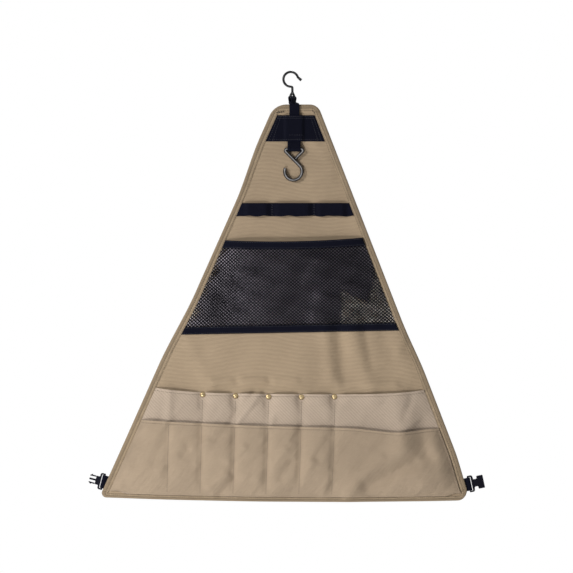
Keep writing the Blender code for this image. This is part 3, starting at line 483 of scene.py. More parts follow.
@dataclass(frozen=True)
class MetalFinish(Finish):
    """Metal wire or a pressed cap, with fine scratches, dull places and a duller or barer second colour; with
    a painted front highlight, the second colour is a painted highlight on the faces that look forward.
    """

    second: Colour
    metallic: float
    shine: float
    dull: float
    gloss: float = 0.5
    painted_front_highlight: bool = False
    cloud_scale: float = 160.0
    grain_scale: float = 2200.0
    scratch_scale: Triple = (300.0, 300.0, 2600.0)
    scratch_depth: float = 0.00002

    def make(self) -> Material:
        """Makes the metal's material.

        Returns:
            The material.
        """
        board = self.board()
        place = board.own_place()
        clouds = board.noise(place, self.cloud_scale, detail=4.0)
        scratches = board.noise(board.stretched(place, self.scratch_scale), 1.0, detail=2.0)
        worn_and_painted_light = board.spread(clouds, 0.52, 0.72, 0.0, 1.0)
        # Painted highlight: the second colour is painted in patches along the faces that look forward.
        if self.painted_front_highlight:
            worn_and_painted_light = board.times(board.forward(-0.98, -0.92), board.spread(clouds, 0.3, 0.6, 0.55, 1.0))
        colour = board.blend(worn_and_painted_light, self.shade(1.0), (*self.second, 1.0))
        rough = board.spread(clouds, *CLOUDY, self.shine, self.dull)
        rough = board.math("ADD", rough, board.spread(scratches, 0.4, 0.7, 0.0, 0.08))
        normal = board.bump(board.noise(place, self.grain_scale, detail=2.0), self.scratch_depth)
        normal = board.bump(scratches, self.scratch_depth, normal)
        board.set_shader(Base_Color=colour, Roughness=rough, Normal=normal)
        board.set_shader(Metallic=self.metallic, Specular_IOR_Level=self.gloss)
        return board.owner


@dataclass(frozen=True)
class MouldedFinish(Finish):
    """Moulded plastic with a fine spark grain and slightly polished, greyed high places."""

    grain_depth: float = 0.00006
    grain_scale: float = 1600.0
    cloud_scale: float = 90.0
    scuff_scale: Triple = (240.0, 240.0, 1500.0)
    scuff_shade: float = 2.4
    shine: float = 0.2
    dull: float = 0.36
    gloss: float = 0.07

    def make(self) -> Material:
        """Makes the plastic's material.

        Returns:
            The material.
        """
        board = self.board()
        place = board.own_place()
        grain = board.noise(place, self.grain_scale, detail=2.0)
        scuffs = board.noise(board.stretched(place, self.scuff_scale), 1.0)
        scuffed = board.spread(scuffs, 0.56, 0.72, 0.0, 0.6)
        colour = board.blend(scuffed, self.shade(1.0), self.shade(self.scuff_shade))
        rough = board.spread(board.noise(place, self.cloud_scale), *CLOUDY, self.shine, self.dull)
        board.set_shader(Base_Color=colour, Roughness=rough, Normal=board.bump(grain, self.grain_depth))
        board.set_shader(Specular_IOR_Level=self.gloss)
        return board.owner


@dataclass(frozen=True)
class Fold:
    """A soft fold: a rounded ridge along a line, or a furrow where its height is negative."""

    start: Pair
    end: Pair
    reach: float
    height: float

    @classmethod
    def from_row(cls, row: Sequence[float]) -> "Fold":
        """Takes a fold from its row of plain numbers."""
        return cls((row[0], row[1]), (row[2], row[3]), row[4], row[5])

    def lift(self, x: Array, z: Array) -> Array:
        """Gives how far the fold lifts the cloth forward.

        Args:
            x: Places across.
            z: Places up.

        Returns:
            The lift at each place.
        """
        run_x, run_z = self.end[0] - self.start[0], self.end[1] - self.start[1]
        along = ((x - self.start[0]) * run_x + (z - self.start[1]) * run_z) / (run_x**2 + run_z**2)
        along = np.clip(along, 0.0, 1.0)
        away = np.hypot(x - self.start[0] - along * run_x, z - self.start[1] - along * run_z)
        return self.height * hill(away, 0.0, self.reach)


@dataclass(frozen=True)
class PanelOutline:
    """The trapezoid that every sewn piece is placed on, by a share of its width and a depth from its top."""

    top_z: float
    height: float
    top_width: float = 0.0828
    hem_width: float = 0.7117
    top_shift: float = 0.0102
    hem_shift: float = -0.0106
    top_left_corner: float = 0.036
    top_right_corner: float = 0.0225
    hem_right_corner: float = 0.018
    hem_left_corner: float = 0.0085
    binding_width: float = 0.013
    least_corner: float = 0.0003
    left_pull: float = 0.0086
    right_swing: float = 0.005
    hem_sag: float = 0.0068
    hem_sag_bend: float = 0.0058
    hem_sag_place: float = 0.25
    hem_sag_power: int = 8
    left_pull_span: Span = (0.06, 0.19, 0.36, 0.5)
    right_swing_span: Span = (0.41, 0.52, 0.66, 0.74)
    hem_narrow_span: Span = (0.012, 0.04, 0.955, 0.985)
    overhang: float = 1.05

    @classmethod
    def from_frame(cls) -> "PanelOutline":
        """Takes the panel's height from its bindings in the frame."""
        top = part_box("top_binding")[1].z
        return cls(top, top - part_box("hem_binding")[0].z)

    def half_width(self, depth: Array | float) -> Array | float:
        """Half of the panel's width at a depth."""
        return (self.top_width + (self.hem_width - self.top_width) * depth / self.height) / 2

    def centre_x(self, depth: Array | float) -> Array | float:
        """X of the panel's middle line at a depth."""
        return self.top_shift + (self.hem_shift - self.top_shift) * depth / self.height

    @property
    def seam_inset(self) -> float:
        """How far in from the side edge, level across, the cloth that meets the binding ends."""
        slope = (self.hem_width - self.top_width) / 2 / self.height
        return self.binding_width * hypot(1.0, slope)

    def share_at(self, x: Array, depth: Array | float, inset: float = 0.0) -> Array:
        """Gives the share of the width, -1 left to 1 right, that an X lies at."""
        return (x - self.centre_x(depth)) / (self.half_width(depth) - inset)

    def flat_x(self, share: Array | float, depth: Array | float, inset: float = 0.0) -> Array:
        """X at a share of the width, before the cloth is pulled."""
        return self.centre_x(depth) + share * (self.half_width(depth) - inset)

    def pull(self, x: Array, z: Array) -> tuple[Array, Array]:
        """Moves flat places to where the hung cloth is pulled: left edge in, right edge out, hem down.

        Args:
            x: Places across.
            z: Places up.

        Returns:
            The moved places across and up.
        """
        depth = self.top_z - z
        share = np.clip(self.share_at(x, depth), -self.overhang, self.overhang)
        inward = self.left_pull * plateau(self.left_pull_span, depth) * ((1 - share) / 2) ** 2
        outward = self.right_swing * plateau(self.right_swing_span, depth) * ((1 + share) / 2) ** 3
        sag = self.hem_sag - self.hem_sag_bend * (share - self.hem_sag_place) ** 2
        low = (np.clip(depth, 0.0, None) / self.height) ** self.hem_sag_power
        return x + inward + outward, z - sag * low

    def corner(self, number: int, inset: float, steps: int) -> Array:
        """Gives the arc round one corner of the outline moved in by an inset.

        Args:
            number: Corner, clockwise from the top left.
            inset: How far the outline is moved in.
            steps: Stretches in the arc.

        Returns:
            Points of the arc as (x, z) rows.
        """
        shares = ((-1, 0.0), (1, 0.0), (1, self.height), (-1, self.height))
        radii = (self.top_left_corner, self.top_right_corner, self.hem_right_corner, self.hem_left_corner)
        corners = [Vector((self.flat_x(side, depth), self.top_z - depth)) for side, depth in shares]
        here = corners[number]
        sides = [(corners[beside % 4] - here).normalized() for beside in (number - 1, number + 1)]
        radius = max(radii[number] * (1 - inset / self.binding_width), self.least_corner)
        return np.array([tuple(point) for point in rounded(here, sides, radius, steps, inset)])


@dataclass(frozen=True)
class Wave:
    """Slow waves over a stretch of the panel's height; run is how fast they pass along X and Z."""

    height: float
    length: float
    run: Pair
    phase: float
    span: Span

    def lift(self, x: Array, z: Array, depth: Array) -> Array:
        """Gives how far the waves lift the cloth forward."""
        turns = 2 * pi * (self.run[0] * x + self.run[1] * z) / self.length
        return self.height * plateau(self.span, depth) * np.sin(turns + self.phase)


@dataclass(frozen=True)
class Drape:
    """How far the hung cloth stands forward: slow waves and folds, and calm round the rivets."""

    outline: PanelOutline
    waves: tuple[Wave, ...]
    folds: tuple[Fold, ...]
    calm: tuple[Pair, ...]
    calm_reach: float = 0.016
    edge_power: int = 10

    def lift(self, x: Array, z: Array) -> Array:
        """Gives the drape's lift.

        Args:
            x: Places across.
            z: Places up.

        Returns:
            How far forward the cloth stands at each place.
        """
        depth = self.outline.top_z - z
        share = np.clip(self.outline.share_at(x, depth), -1.0, 1.0)
        lift = sum(wave.lift(x, z, depth) for wave in self.waves)
        lift += sum(fold.lift(x, z) for fold in self.folds)
        lift *= 1 - np.abs(share) ** self.edge_power
        for pin_x, pin_z in self.calm:
            lift *= 1 - hill(np.hypot(x - pin_x, z - pin_z), 0.0, self.calm_reach)
        return lift


@dataclass(frozen=True)
class Ground:
    """The panel's outline, drape and middle plane, which every sewn piece is laid on."""

    outline: PanelOutline
    drape: Drape
    middle_y: float

    def lay(self, share: Array, depth: Array, forward: Array | float, inset: float = 0.0) -> Array:
        """Lays points by their share of the width, less an inset at both sides, and their depth."""
        return self.lay_at(self.outline.flat_x(share, depth, inset), depth, forward)

    def lay_at(self, x: Array, depth: Array, forward: Array | float) -> Array:
        """Lays points by their flat X and their depth from the top."""
        return self.raise_points(*self.outline.pull(x, self.outline.top_z - depth), forward)

    def raise_points(self, x: Array, z: Array, forward: Array | float) -> Array:
        """Stands pulled places forward of the draped panel's middle."""
        return np.stack((x, self.middle_y - forward - self.drape.lift(x, z), z), axis=-1)


def link_piece(name: str, data: bpy.types.ID) -> Piece:
    """Makes a piece of a mesh or curve and puts it in the scene.

    Args:
        name: Name of the piece.
        data: Its mesh or curve.

    Returns:
        The piece.
    """
    piece = bpy.data.objects.new(name, data)
    bpy.context.scene.collection.objects.link(piece)
    return piece


def link_mesh(name: str, points: list, faces: list) -> bpy.types.Mesh:
    """Makes a smooth mesh of its points and faces.

    Args:
        name: Name of the mesh.
        points: Its points.
        faces: Its faces, as the numbers of their points.

    Returns:
        The mesh.
    """
    mesh = bpy.data.meshes.new(name)
    mesh.from_pydata(points, [], faces)
    mesh.shade_smooth()
    return mesh


def dress(piece: Piece, finish: Finish, body: Body, stands_for: Sequence[str] = ()) -> Piece:
    """Gives a piece its finish, its body and the nodes that it stands for.

    Args:
        piece: Piece in its place.
        finish: Its finish.
        body: Body that it rides on.
        stands_for: Names of the nodes that it replaces.

    Returns:
        The piece.
    """
    piece.data.materials.append(finish.material())
    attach(piece, body.value)
    if stands_for:
        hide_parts(*stands_for)
    LOG.info("%s rides on %s", piece.name, body.value)
    return piece


def arc_lengths(places: Array) -> tuple[Array, Array]:
    """Measures a grid of points along its rows and columns.

    Args:
        places: Points in rows and columns.

    Returns:
        Each point's length across its row and down its column.
    """
    across = np.zeros(places.shape[:2])
    along = np.zeros(places.shape[:2])
    across[:, 1:] = np.cumsum(np.linalg.norm(np.diff(places, axis=1), axis=2), axis=1)
    along[1:] = np.cumsum(np.linalg.norm(np.diff(places, axis=0), axis=2), axis=0)
    across -= across[:, -1:] / 2
    return across, along


@dataclass
class Cloth:
    """One thin piece laid out as rows of points, with its threads' run and its lighter places: rubbed wear,
    and painted light on the backing panel.
    """

    name: str
    node: str
    places: Array
    thickness: float
    finish: Finish
    grain: Grain = Grain.UPRIGHT
    wear_and_painted_light: Array | None = None

    def build(self, flat: Pair, held: str, rests_on: str, area: float | None = None) -> Piece:
        """Makes the piece, which stands for its node.

        Args:
            flat: Width and length that it was cut to; not used.
            held: How it is held; not used.
            rests_on: What it lies on or hangs from; not used.
            area: Area that it was cut to, where that isn't a rectangle; not used.

        Returns:
            The piece.
        """
        rows, columns = self.places.shape[:2]
        numbers = np.arange(rows * columns).reshape(rows, columns)
        quads = (numbers[:-1, :-1], numbers[1:, :-1], numbers[1:, 1:], numbers[:-1, 1:])
        faces = np.stack(quads, axis=-1).reshape(-1, 4).tolist()
        mesh = link_mesh(self.name, self.places.reshape(-1, 3).tolist(), faces)
        upright = self.grain is Grain.UPRIGHT
        run = (self.places[:, :, 0], self.places[:, :, 2]) if upright else arc_lengths(self.places)
        run_threads(mesh, np.stack([way.ravel() for way in run], axis=1))
        rubbed_and_painted_light = 0.0 if self.wear_and_painted_light is None else self.wear_and_painted_light
        mark_wear_and_painted_light(mesh, np.broadcast_to(rubbed_and_painted_light, (rows, columns)).ravel())
        piece = link_piece(self.name, mesh)
        thicken(piece, self.thickness)
        dress(piece, self.finish, Body.PANEL, (self.node,))
        return piece


def run_threads(mesh: bpy.types.Mesh, places: Array) -> None:
    """Writes a mesh's thread places, in metres, for its finish to read.

    Args:
        mesh: Mesh that gets the places.
        places: Place across and along the threads for each point.
    """
    corners = np.zeros(len(mesh.loops), np.int64)
    mesh.loops.foreach_get("vertex_index", corners)
    layer = mesh.uv_layers.new(name=WEAVE_MAP)
    layer.data.foreach_set("uv", places[corners].astype(np.float32).ravel())


def mark_wear_and_painted_light(mesh: bpy.types.Mesh, wear_and_painted_light: Array) -> None:
    """Writes how much lighter each of a mesh's points is drawn, from 0 to 1: rubbed wear, and painted light
    and shade on the backing panel and the net's back layer.
    """
    attribute = mesh.attributes.new(WEAR_AND_PAINTED_LIGHT, "FLOAT", "POINT")
    attribute.data.foreach_set("value", np.asarray(wear_and_painted_light, np.float32))


def thicken(piece: Piece, thickness: float) -> None:
    """Gives an open surface its thickness, half of it to each side.

    Args:
        piece: Piece that is one surface.
        thickness: Its thickness.
    """
    solidify = piece.modifiers.new("cloth_thickness", "SOLIDIFY")
    solidify.thickness = thickness
    solidify.offset = 0.0


@dataclass
class Stitching:
    """Rows of lockstitches gathered into one piece of thread."""

    name: str
    finish: Finish
    pitch: float = 0.0040
    length: float = 0.0029
    thread: float = 0.00068
    sides: int = 6
    shape: tuple[Triple, ...] = (
        (-0.5, 0.45, 0.5),
        (-0.26, 1.0, 0.0),
        (0.26, 1.0, 0.0),
        (0.5, 0.45, 0.5),
    )
    points: list[Array] = field(default_factory=list)

    @property
    def seat(self) -> float:
        """How far the thread's middle stands off the cloth."""
        return self.thread / 4

    def sew(self, line: Array, outward: Array | None = None) -> None:
        """Adds a row of stitches on a surface.

        Args:
            line: Points that the row follows.
            outward: Direction off the surface at each point, or none where it faces the front.
        """
        if outward is None:
            outward = np.tile((0.0, -1.0, 0.0), (len(line), 1))
        run = run_along(line)
        count = int(run[-1] / self.pitch)
        if count < 1:
            return
        middles = (np.arange(count) + 0.5) * run[-1] / count
        centre, out = read_at(middles, run, line), read_at(middles, run, outward)
        along = read_at(middles + self.length / 4, run, line) - read_at(middles - self.length / 4, run, line)
        along /= np.linalg.norm(along, axis=1, keepdims=True)
        side = np.cross(along, out)
        side /= np.linalg.norm(side, axis=1, keepdims=True)
        out = np.cross(side, along)
        for end, girth, sink in self.shape:
            ring = centre + along * end * self.length - out * sink * self.thread
            for turn in range(self.sides):
                angle = 2 * pi * turn / self.sides
                spoke = (side * cos(angle) + out * sin(angle)) * girth * self.thread / 2
                self.points.append((ring + spoke)[:, None, :])

    def build(self) -> Piece:
        """Makes the piece of all the rows sewn so far.

        Returns:
            The piece.
        """
        rings, sides = len(self.shape), self.sides
        per_row = rings * sides
        starts = range(0, len(self.points), per_row)
        rows = [np.concatenate(self.points[start : start + per_row], axis=1) for start in starts]
        vertices = np.concatenate([row.reshape(-1, 3) for row in rows])
        template = []
        for ring in range(0, per_row - sides, sides):
            for turn in range(sides):
                here, beside = ring + turn, ring + (turn + 1) % sides
                template.append((here, beside, beside + sides, here + sides))
        template += [tuple(range(sides - 1, -1, -1)), tuple(range((rings - 1) * sides, per_row))]
        starts = range(0, len(vertices), per_row)
        faces = [tuple(start + corner for corner in face) for start in starts for face in template]
        mesh = link_mesh(self.name, vertices.tolist(), faces)
        return dress(link_piece(self.name, mesh), self.finish, Body.PANEL)


@dataclass
class Sewn:
    """Something sewn on the draped panel."""

    ground: Ground

    @property
    def outline(self) -> PanelOutline:
        """The panel's outline."""
        return self.ground.outline


@dataclass
class BackingPanel(Sewn):
    """The trapezoid of cloth that carries every other piece, its cut edge inside the binding."""

    finish: Finish
    painted_light: Callable[[Array, Array], Array]
    cloth: float = 0.0016
    tuck: float = 0.0019
    rows: int = 180
    columns: int = 160
    corner_steps: int = 12

    def build(self) -> Piece:
        """Makes the panel, each row as wide as the rounded outline is there.

        Returns:
            The piece.
        """
        outline = self.outline
        arcs = [outline.corner(number, self.tuck, self.corner_steps) for number in range(4)]
        left = np.concatenate((arcs[3], arcs[0]))
        right = np.concatenate((arcs[1], arcs[2]))[::-1]
        level = np.linspace(left[0, 1], left[-1, 1], self.rows)[::-1, None]
        low, high = (np.interp(level, side[:, 1], side[:, 0]) for side in (left, right))
        x = low + (high - low) * np.linspace(0.0, 1.0, self.columns)
        x, z = outline.pull(x, np.broadcast_to(level, x.shape))
        places = self.ground.raise_points(x, z, 0.0)
        # Painted light: the cloth is drawn pale where it shows through the net's wide-open places.
        wear_and_painted_light = self.painted_light(x, z)
        cloth = Cloth("backing_cloth", "backing_panel", places, self.cloth, self.finish, wear_and_painted_light=wear_and_painted_light)
        area = (outline.top_width + outline.hem_width) / 2 * outline.height
        return cloth.build((outline.hem_width, outline.height), "hung", "hanging_webbing", area)


@dataclass
class Binding(Sewn):
    """Cloth tape folded round the panel's edge and sewn down: over the top, down each side, along the hem."""

    finish: Finish
    stitching: Stitching
    half_stack: float = 0.0019
    cloth: float = 0.0008
    seam: float = 0.0071
    inner_seam: float = 0.0118
    dimple: float = 0.0004
    relief: tuple[Triple, ...] = (
        (0.0040, 0.0022, 0.0004),
        (0.0088, 0.0010, 0.00024),
        (0.0071, 0.0009, -0.0004),
        (0.0118, 0.0009, -0.00028),
    )
    hem_width: float = 0.0082
    wander: float = 0.035
    wander_length: float = 0.083
    wander_bend: float = 9.0
    point_gap: float = 0.0035
    ply_points: int = 17
    bend_points: int = 9
    corner_steps: int = 12
    tacks: tuple[tuple[Pair, Pair], ...] = (
        ((-0.0285, -0.0750), (-0.0120, -0.0722)),
        ((0.0405, -0.0695), (0.0460, -0.0765)),
    )
    tack_rows: int = 4

    def build(self) -> list[Piece]:
        """Makes the four pieces of tape with their stitches.

        Returns:
            The pieces.
        """
        self.tack_corners()
        return [
            self.tape("top_tape", 0, 1, True, "top_binding"),
            self.tape("right_tape", 1, 2, False, "right_binding"),
            self.tape("hem_tape", 2, 3, True, "hem_binding"),
            self.tape("left_tape", 3, 0, False, "left_binding"),
        ]

    def tack_corners(self) -> None:
        """Sews stacked rows of stitches in the dark thread at the two top corners, where the tapes' folded
        ends lie.
        """
        for start, end in self.tacks:
            for row in range(self.tack_rows):
                x, z = np.linspace(start, end, 12).T
                z = z - row * self.stitching.thread
                self.stitching.sew(self.ground.raise_points(x, z, self.half_stack + self.stitching.seat))

    def section(self) -> list[Pair]:
        """Gives the folded tape's middle line.

        Returns:
            Its (inset, forward) pairs, front edge to back edge.
        """
        middle = self.half_stack - self.cloth / 2
        ply = np.linspace(self.outline.binding_width, self.half_stack, self.ply_points)
        swelling = sum(height * hill(ply, place, reach) for place, reach, height in self.relief)
        front = [(inset, middle + rise) for inset, rise in zip(ply, swelling)]
        bend = [pi * step / self.bend_points for step in range(1, self.bend_points)]
        fold = [(self.half_stack - middle * sin(turn), middle * cos(turn)) for turn in bend]
        return front + fold + [(inset, -forward) for inset, forward in reversed(front)]

    def line(self, first: int, last: int, whole: bool, inset: float) -> Array:
        """Gives points along the outline moved in, from one corner to the next.

        Args:
            first: Corner that the run starts at, clockwise from the top left.
            last: Corner that it ends at.
            whole: Whether it takes in both corners' arcs.
            inset: How far the outline is moved in.

        Returns:
            Points as (x, z) rows.
        """
        outline = self.outline
        start = outline.corner(first, inset, self.corner_steps)
        end = outline.corner(last, inset, self.corner_steps)
        straight = np.linalg.norm(outline.corner(last, 0.0, 1)[0] - outline.corner(first, 0.0, 1)[-1])
        between = np.linspace(start[-1], end[0], max(int(straight / self.point_gap), 4))
        return np.concatenate((start[:-1], between, end[1:])) if whole else between

    def tape(self, name: str, first: int, last: int, whole: bool, node: str) -> Piece:
        """Makes one piece of the tape.

        Args:
            name: Name of the piece.
            first: Corner that it starts at.
            last: Corner that it ends at.
            whole: Whether it takes in both corners.
            node: Node that it replaces.

        Returns:
            The piece.
        """
        section = self.section()
        middle = self.half_stack - self.cloth / 2
        lines = np.stack([self.line(first, last, whole, inset) for inset, _ in section])
        insets, forwards = (column[:, None] for column in np.array(section).T)
        run = run_along(lines[-1])
        lines = self.narrowed(lines, lines[len(section) // 2], node)
        wander = self.wander * np.sin(2 * pi * run / self.wander_length) * np.sin(self.wander_bend * run)
        lines += (lines[:1] - lines[len(section) // 2]) * (wander * insets / insets.max())[:, :, None]
        x, z = self.outline.pull(lines[:, :, 0], lines[:, :, 1])
        places = self.ground.raise_points(x, z, np.broadcast_to(forwards, x.shape))
        # The tape is drawn lighter at its folded outer edge and over its inner band past the seam.
        wear_and_painted_light = 0.25 * hill(insets, 0.0, 0.0022) + 0.85 * smooth_step(self.seam, self.seam + 0.001, insets)
        flat = (float(run_along(np.array(section))[-1]), float(run[-1]))
        cloth = Cloth(name, node, places, self.cloth, self.finish, Grain.ALONG, wear_and_painted_light)
        built = cloth.build(flat, "folded", "backing_cloth")
        edge = self.line(first, last, whole, self.half_stack - middle)
        for side, inset in ((1, self.seam), (-1, self.seam), (1, self.inner_seam)):
            seam = self.narrowed(self.line(first, last, whole, inset)[None], edge, node)[0]
            height = side * (self.half_stack - self.dimple + self.stitching.seat)
            row = self.ground.raise_points(*self.outline.pull(seam[:, 0], seam[:, 1]), height)
            self.stitching.sew(row, np.tile((0.0, -float(side), 0.0), (len(row), 1)))
        return built

    def narrowed(self, lines: Array, edge: Array, node: str) -> Array:
        """Draws the hem's tape in between its corners, where the pockets' cloth covers more of it.

        Args:
            lines: Lines of (x, z) points along the tape.
            edge: The tape's outer edge.
            node: Node that the tape replaces.

        Returns:
            The lines, moved towards the edge on the hem alone.
        """
        if node != "hem_binding":
            return lines
        outline = self.outline
        share = plateau(outline.hem_narrow_span, np.linspace(0.0, 1.0, len(edge)))
        keep = 1 - (1 - self.hem_width / outline.binding_width) * share
        return edge + (lines - edge) * keep[:, None]


def fine_corners(corners: Sequence[tuple[Vector, float]], step: float = radians(6)) -> list[Vector]:
    """Rounds the corners of an open line.

    Args:
        corners: Each corner with its bend's radius, none at the two ends.
        step: Turn between two points of a bend.

    Returns:
        Points of the rounded line.
    """
    points = [corners[0][0].copy()]
    for (before, _), (corner, radius), (after, _) in zip(corners, corners[1:], corners[2:]):
        sides = ((before - corner).normalized(), (after - corner).normalized())
        steps = max(2, ceil((pi - sides[0].angle(sides[1])) / step))
        points += rounded(corner, sides, radius, steps)
    return [*points, corners[-1][0].copy()]


def ring_direction(angle: float) -> Vector:
    """Gives the direction at an angle in the XZ plane."""
    return Vector((cos(angle), 0.0, sin(angle)))


@dataclass
class WireHook:
    """A hook bent from one round wire."""

    name: str
    node: str
    body: Body
    finish: Finish
    wire: float
    bevel_steps: int = 8
    tip_points: int = 0
    tip_girth: float = 1.0
    chamfer: float = 0.09
    chamfer_girth: float = 0.82

    def build(self, points: Sequence[Vector]) -> Piece:
        """Makes the wire along its points, its cut ends closed.

        Args:
            points: Middle line of the wire.

        Returns:
            The piece.
        """
        curve = bpy.data.curves.new(self.name, "CURVE")
        curve.dimensions = "3D"
        curve.bevel_depth = self.wire / 2
        curve.bevel_resolution = self.bevel_steps
        curve.use_fill_caps = True
        line = self.chamfered(points)
        spline = curve.splines.new("POLY")
        spline.points.add(len(line) - 1)
        for target, (point, girth) in zip(spline.points, line):
            target.co = (*point, 1.0)
            target.radius = girth
        return dress(link_piece(self.name, curve), self.finish, self.body, (self.node,))

    def chamfered(self, points: Sequence[Vector]) -> list[tuple[Vector, float]]:
        """Adds a small chamfer at both cut ends.

        Args:
            points: Middle line of the wire.

        Returns:
            The line's (point, girth) pairs.
        """
        edge = self.wire * self.chamfer
        start = points[0] + (points[1] - points[0]).normalized() * edge
        end = points[-1] + (points[-2] - points[-1]).normalized() * edge
        thick = len(points) - 1 - self.tip_points
        body = [(point, self.tip_girth if count > thick else 1.0) for count, point in enumerate(points[1:-1])]
        cut = (points[-1], self.chamfer_girth * self.tip_girth)
        return [(points[0], self.chamfer_girth), (start, 1.0), *body, (end, self.tip_girth), cut]


@dataclass
class HangHook(WireHook):
    """The hook that the organizer hangs by: a closed eye turned across a big ring with a flared tip."""

    tip_points: int = 1
    tip_girth: float = 1.2
    bar: Pair = HANG_BAR
    eye_half: float = 0.0116426
    eye_turn: float = EYE_TURN
    corner: float = 0.003
    bend: float = 0.003
    ring_radius: float = 0.014
    ring_end: float = radians(20)
    lead_out: float = 0.0012
    tip_turn: float = radians(30)
    tip: float = 0.0088
    end_gap: float = 0.0004
    ring_steps: int = 72

    def bend_wire(self) -> Piece:
        """Bends the wire from its end at the eye to its tip.

        Returns:
            The piece.
        """
        across = Vector((cos(self.eye_turn), sin(self.eye_turn), 0.0))
        middle = Vector((self.bar[0], 0.0, self.bar[1]))
        left, right = middle - across * self.eye_half, middle + across * self.eye_half
        apex = middle + Vector((0.0, 0.0, self.eye_half))
        start = apex + (left - apex).normalized() * (self.wire / 2 + self.end_gap)
        centre = Vector((0.0, 0.0, self.ring_centre_z()))
        foot = centre - Vector((0.0, 0.0, self.ring_radius))
        corners = [
            (start, 0.0),
            (left, self.corner),
            (right, self.corner),
            (apex, self.bend),
            (foot + Vector((self.bend, 0.0, 0.0)), self.bend),
            (foot, 0.0),
        ]
        points = fine_corners(corners)[:-1]
        sweep = 2 * pi - pi / 2 - self.ring_end
        for stop in range(self.ring_steps + 1):
            angle = -pi / 2 - sweep * stop / self.ring_steps
            points.append(centre + ring_direction(angle) * self.ring_radius)
        heading = -ring_direction(self.ring_end + pi / 2)
        knee = points[-1] + heading * self.lead_out
        flared = ring_direction(atan2(heading.z, heading.x) + self.tip_turn)
        bend = self.lead_out / tan(self.tip_turn / 2)
        tip = fine_corners([(points[-1], 0.0), (knee, bend), (knee + flared * self.tip, 0.0)])
        return self.build(points + tip[2:])

    def ring_centre_z(self) -> float:
        """Gives the ring's height from the top of its node."""
        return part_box(self.node)[1].z - self.ring_radius - self.wire / 2


@dataclass
class FrontHook(WireHook):
    """The hook in the loop below the patch: a triangular eye whose end crosses the start of an open J."""

    bar: Triple = FRONT_BAR
    loop_width: float = LOOP_WIDTH
    side_room: float = 0.0009
    corner: float = 0.0032
    cross_run: float = 0.0144
    j_radius: float = 0.0165
    j_sweep: float = radians(249)
    end_gap: float = 0.0004
    j_steps: int = 84

    def bend_wire(self) -> Piece:
        """Bends the wire from its end at the eye to the J's end.

        Returns:
            The piece.
        """
        middle = Vector(self.bar)
        half = self.loop_width / 2 + self.side_room + self.corner / tan(pi / 8)
        left, right = middle - Vector((half, 0.0, 0.0)), middle + Vector((half, 0.0, 0.0))
        apex = middle - Vector((0.0, 0.0, half))
        start = apex + (right - apex).normalized() * (self.wire / 2 + self.end_gap)
        touch = apex + (apex - left).normalized() * self.cross_run
        centre = touch - ring_direction(pi / 4) * self.j_radius
        points = fine_corners([(start, 0.0), (right, self.corner), (left, self.corner), (touch, 0.0)])[:-1]
        for stop in range(self.j_steps + 1):
            angle = pi / 4 - self.j_sweep * stop / self.j_steps
            points.append(centre + ring_direction(angle) * self.j_radius)
        return self.build(points)


def loop_line(radius: float, front: float, back: float, meet: float, reach: float) -> list[Pair]:
    """Gives the middle line of webbing doubled round a bar, its plies tangent to the loop.

    Args:
        radius: Radius of the loop's middle line.
        front: Place of the front ply, to the back of the bar.
        back: Place of the back ply.
        meet: How far from the bar the plies lie at their own places.
        reach: How far from the bar they end.

    Returns:
        Points as (away from the bar, to the back) pairs, front end to back end.
    """
    front_turn = atan2(front, meet) - acos(radius / hypot(meet, front))
    back_turn = atan2(back, meet) + acos(radius / hypot(meet, back)) - 2 * pi
    steps = ceil((front_turn - back_turn) / radians(8))
    turns = [front_turn + (back_turn - front_turn) * step / steps for step in range(steps + 1)]
    line = [(reach, front), (meet, front), *((radius * cos(turn), radius * sin(turn)) for turn in turns)]
    if back < radius:
        line.append((meet, back))
    return [*line, (reach, back)]


def even_line(line: Sequence[Pair], gap: float) -> Array:
    """Spaces the points of a line evenly.

    Args:
        line: Points as pairs.
        gap: Distance between two new points, about.

    Returns:
        The new points as rows.
    """
    points = np.array(line)
    run = run_along(points)
    return read_at(np.linspace(0.0, run[-1], max(int(run[-1] / gap), 4)), run, points)


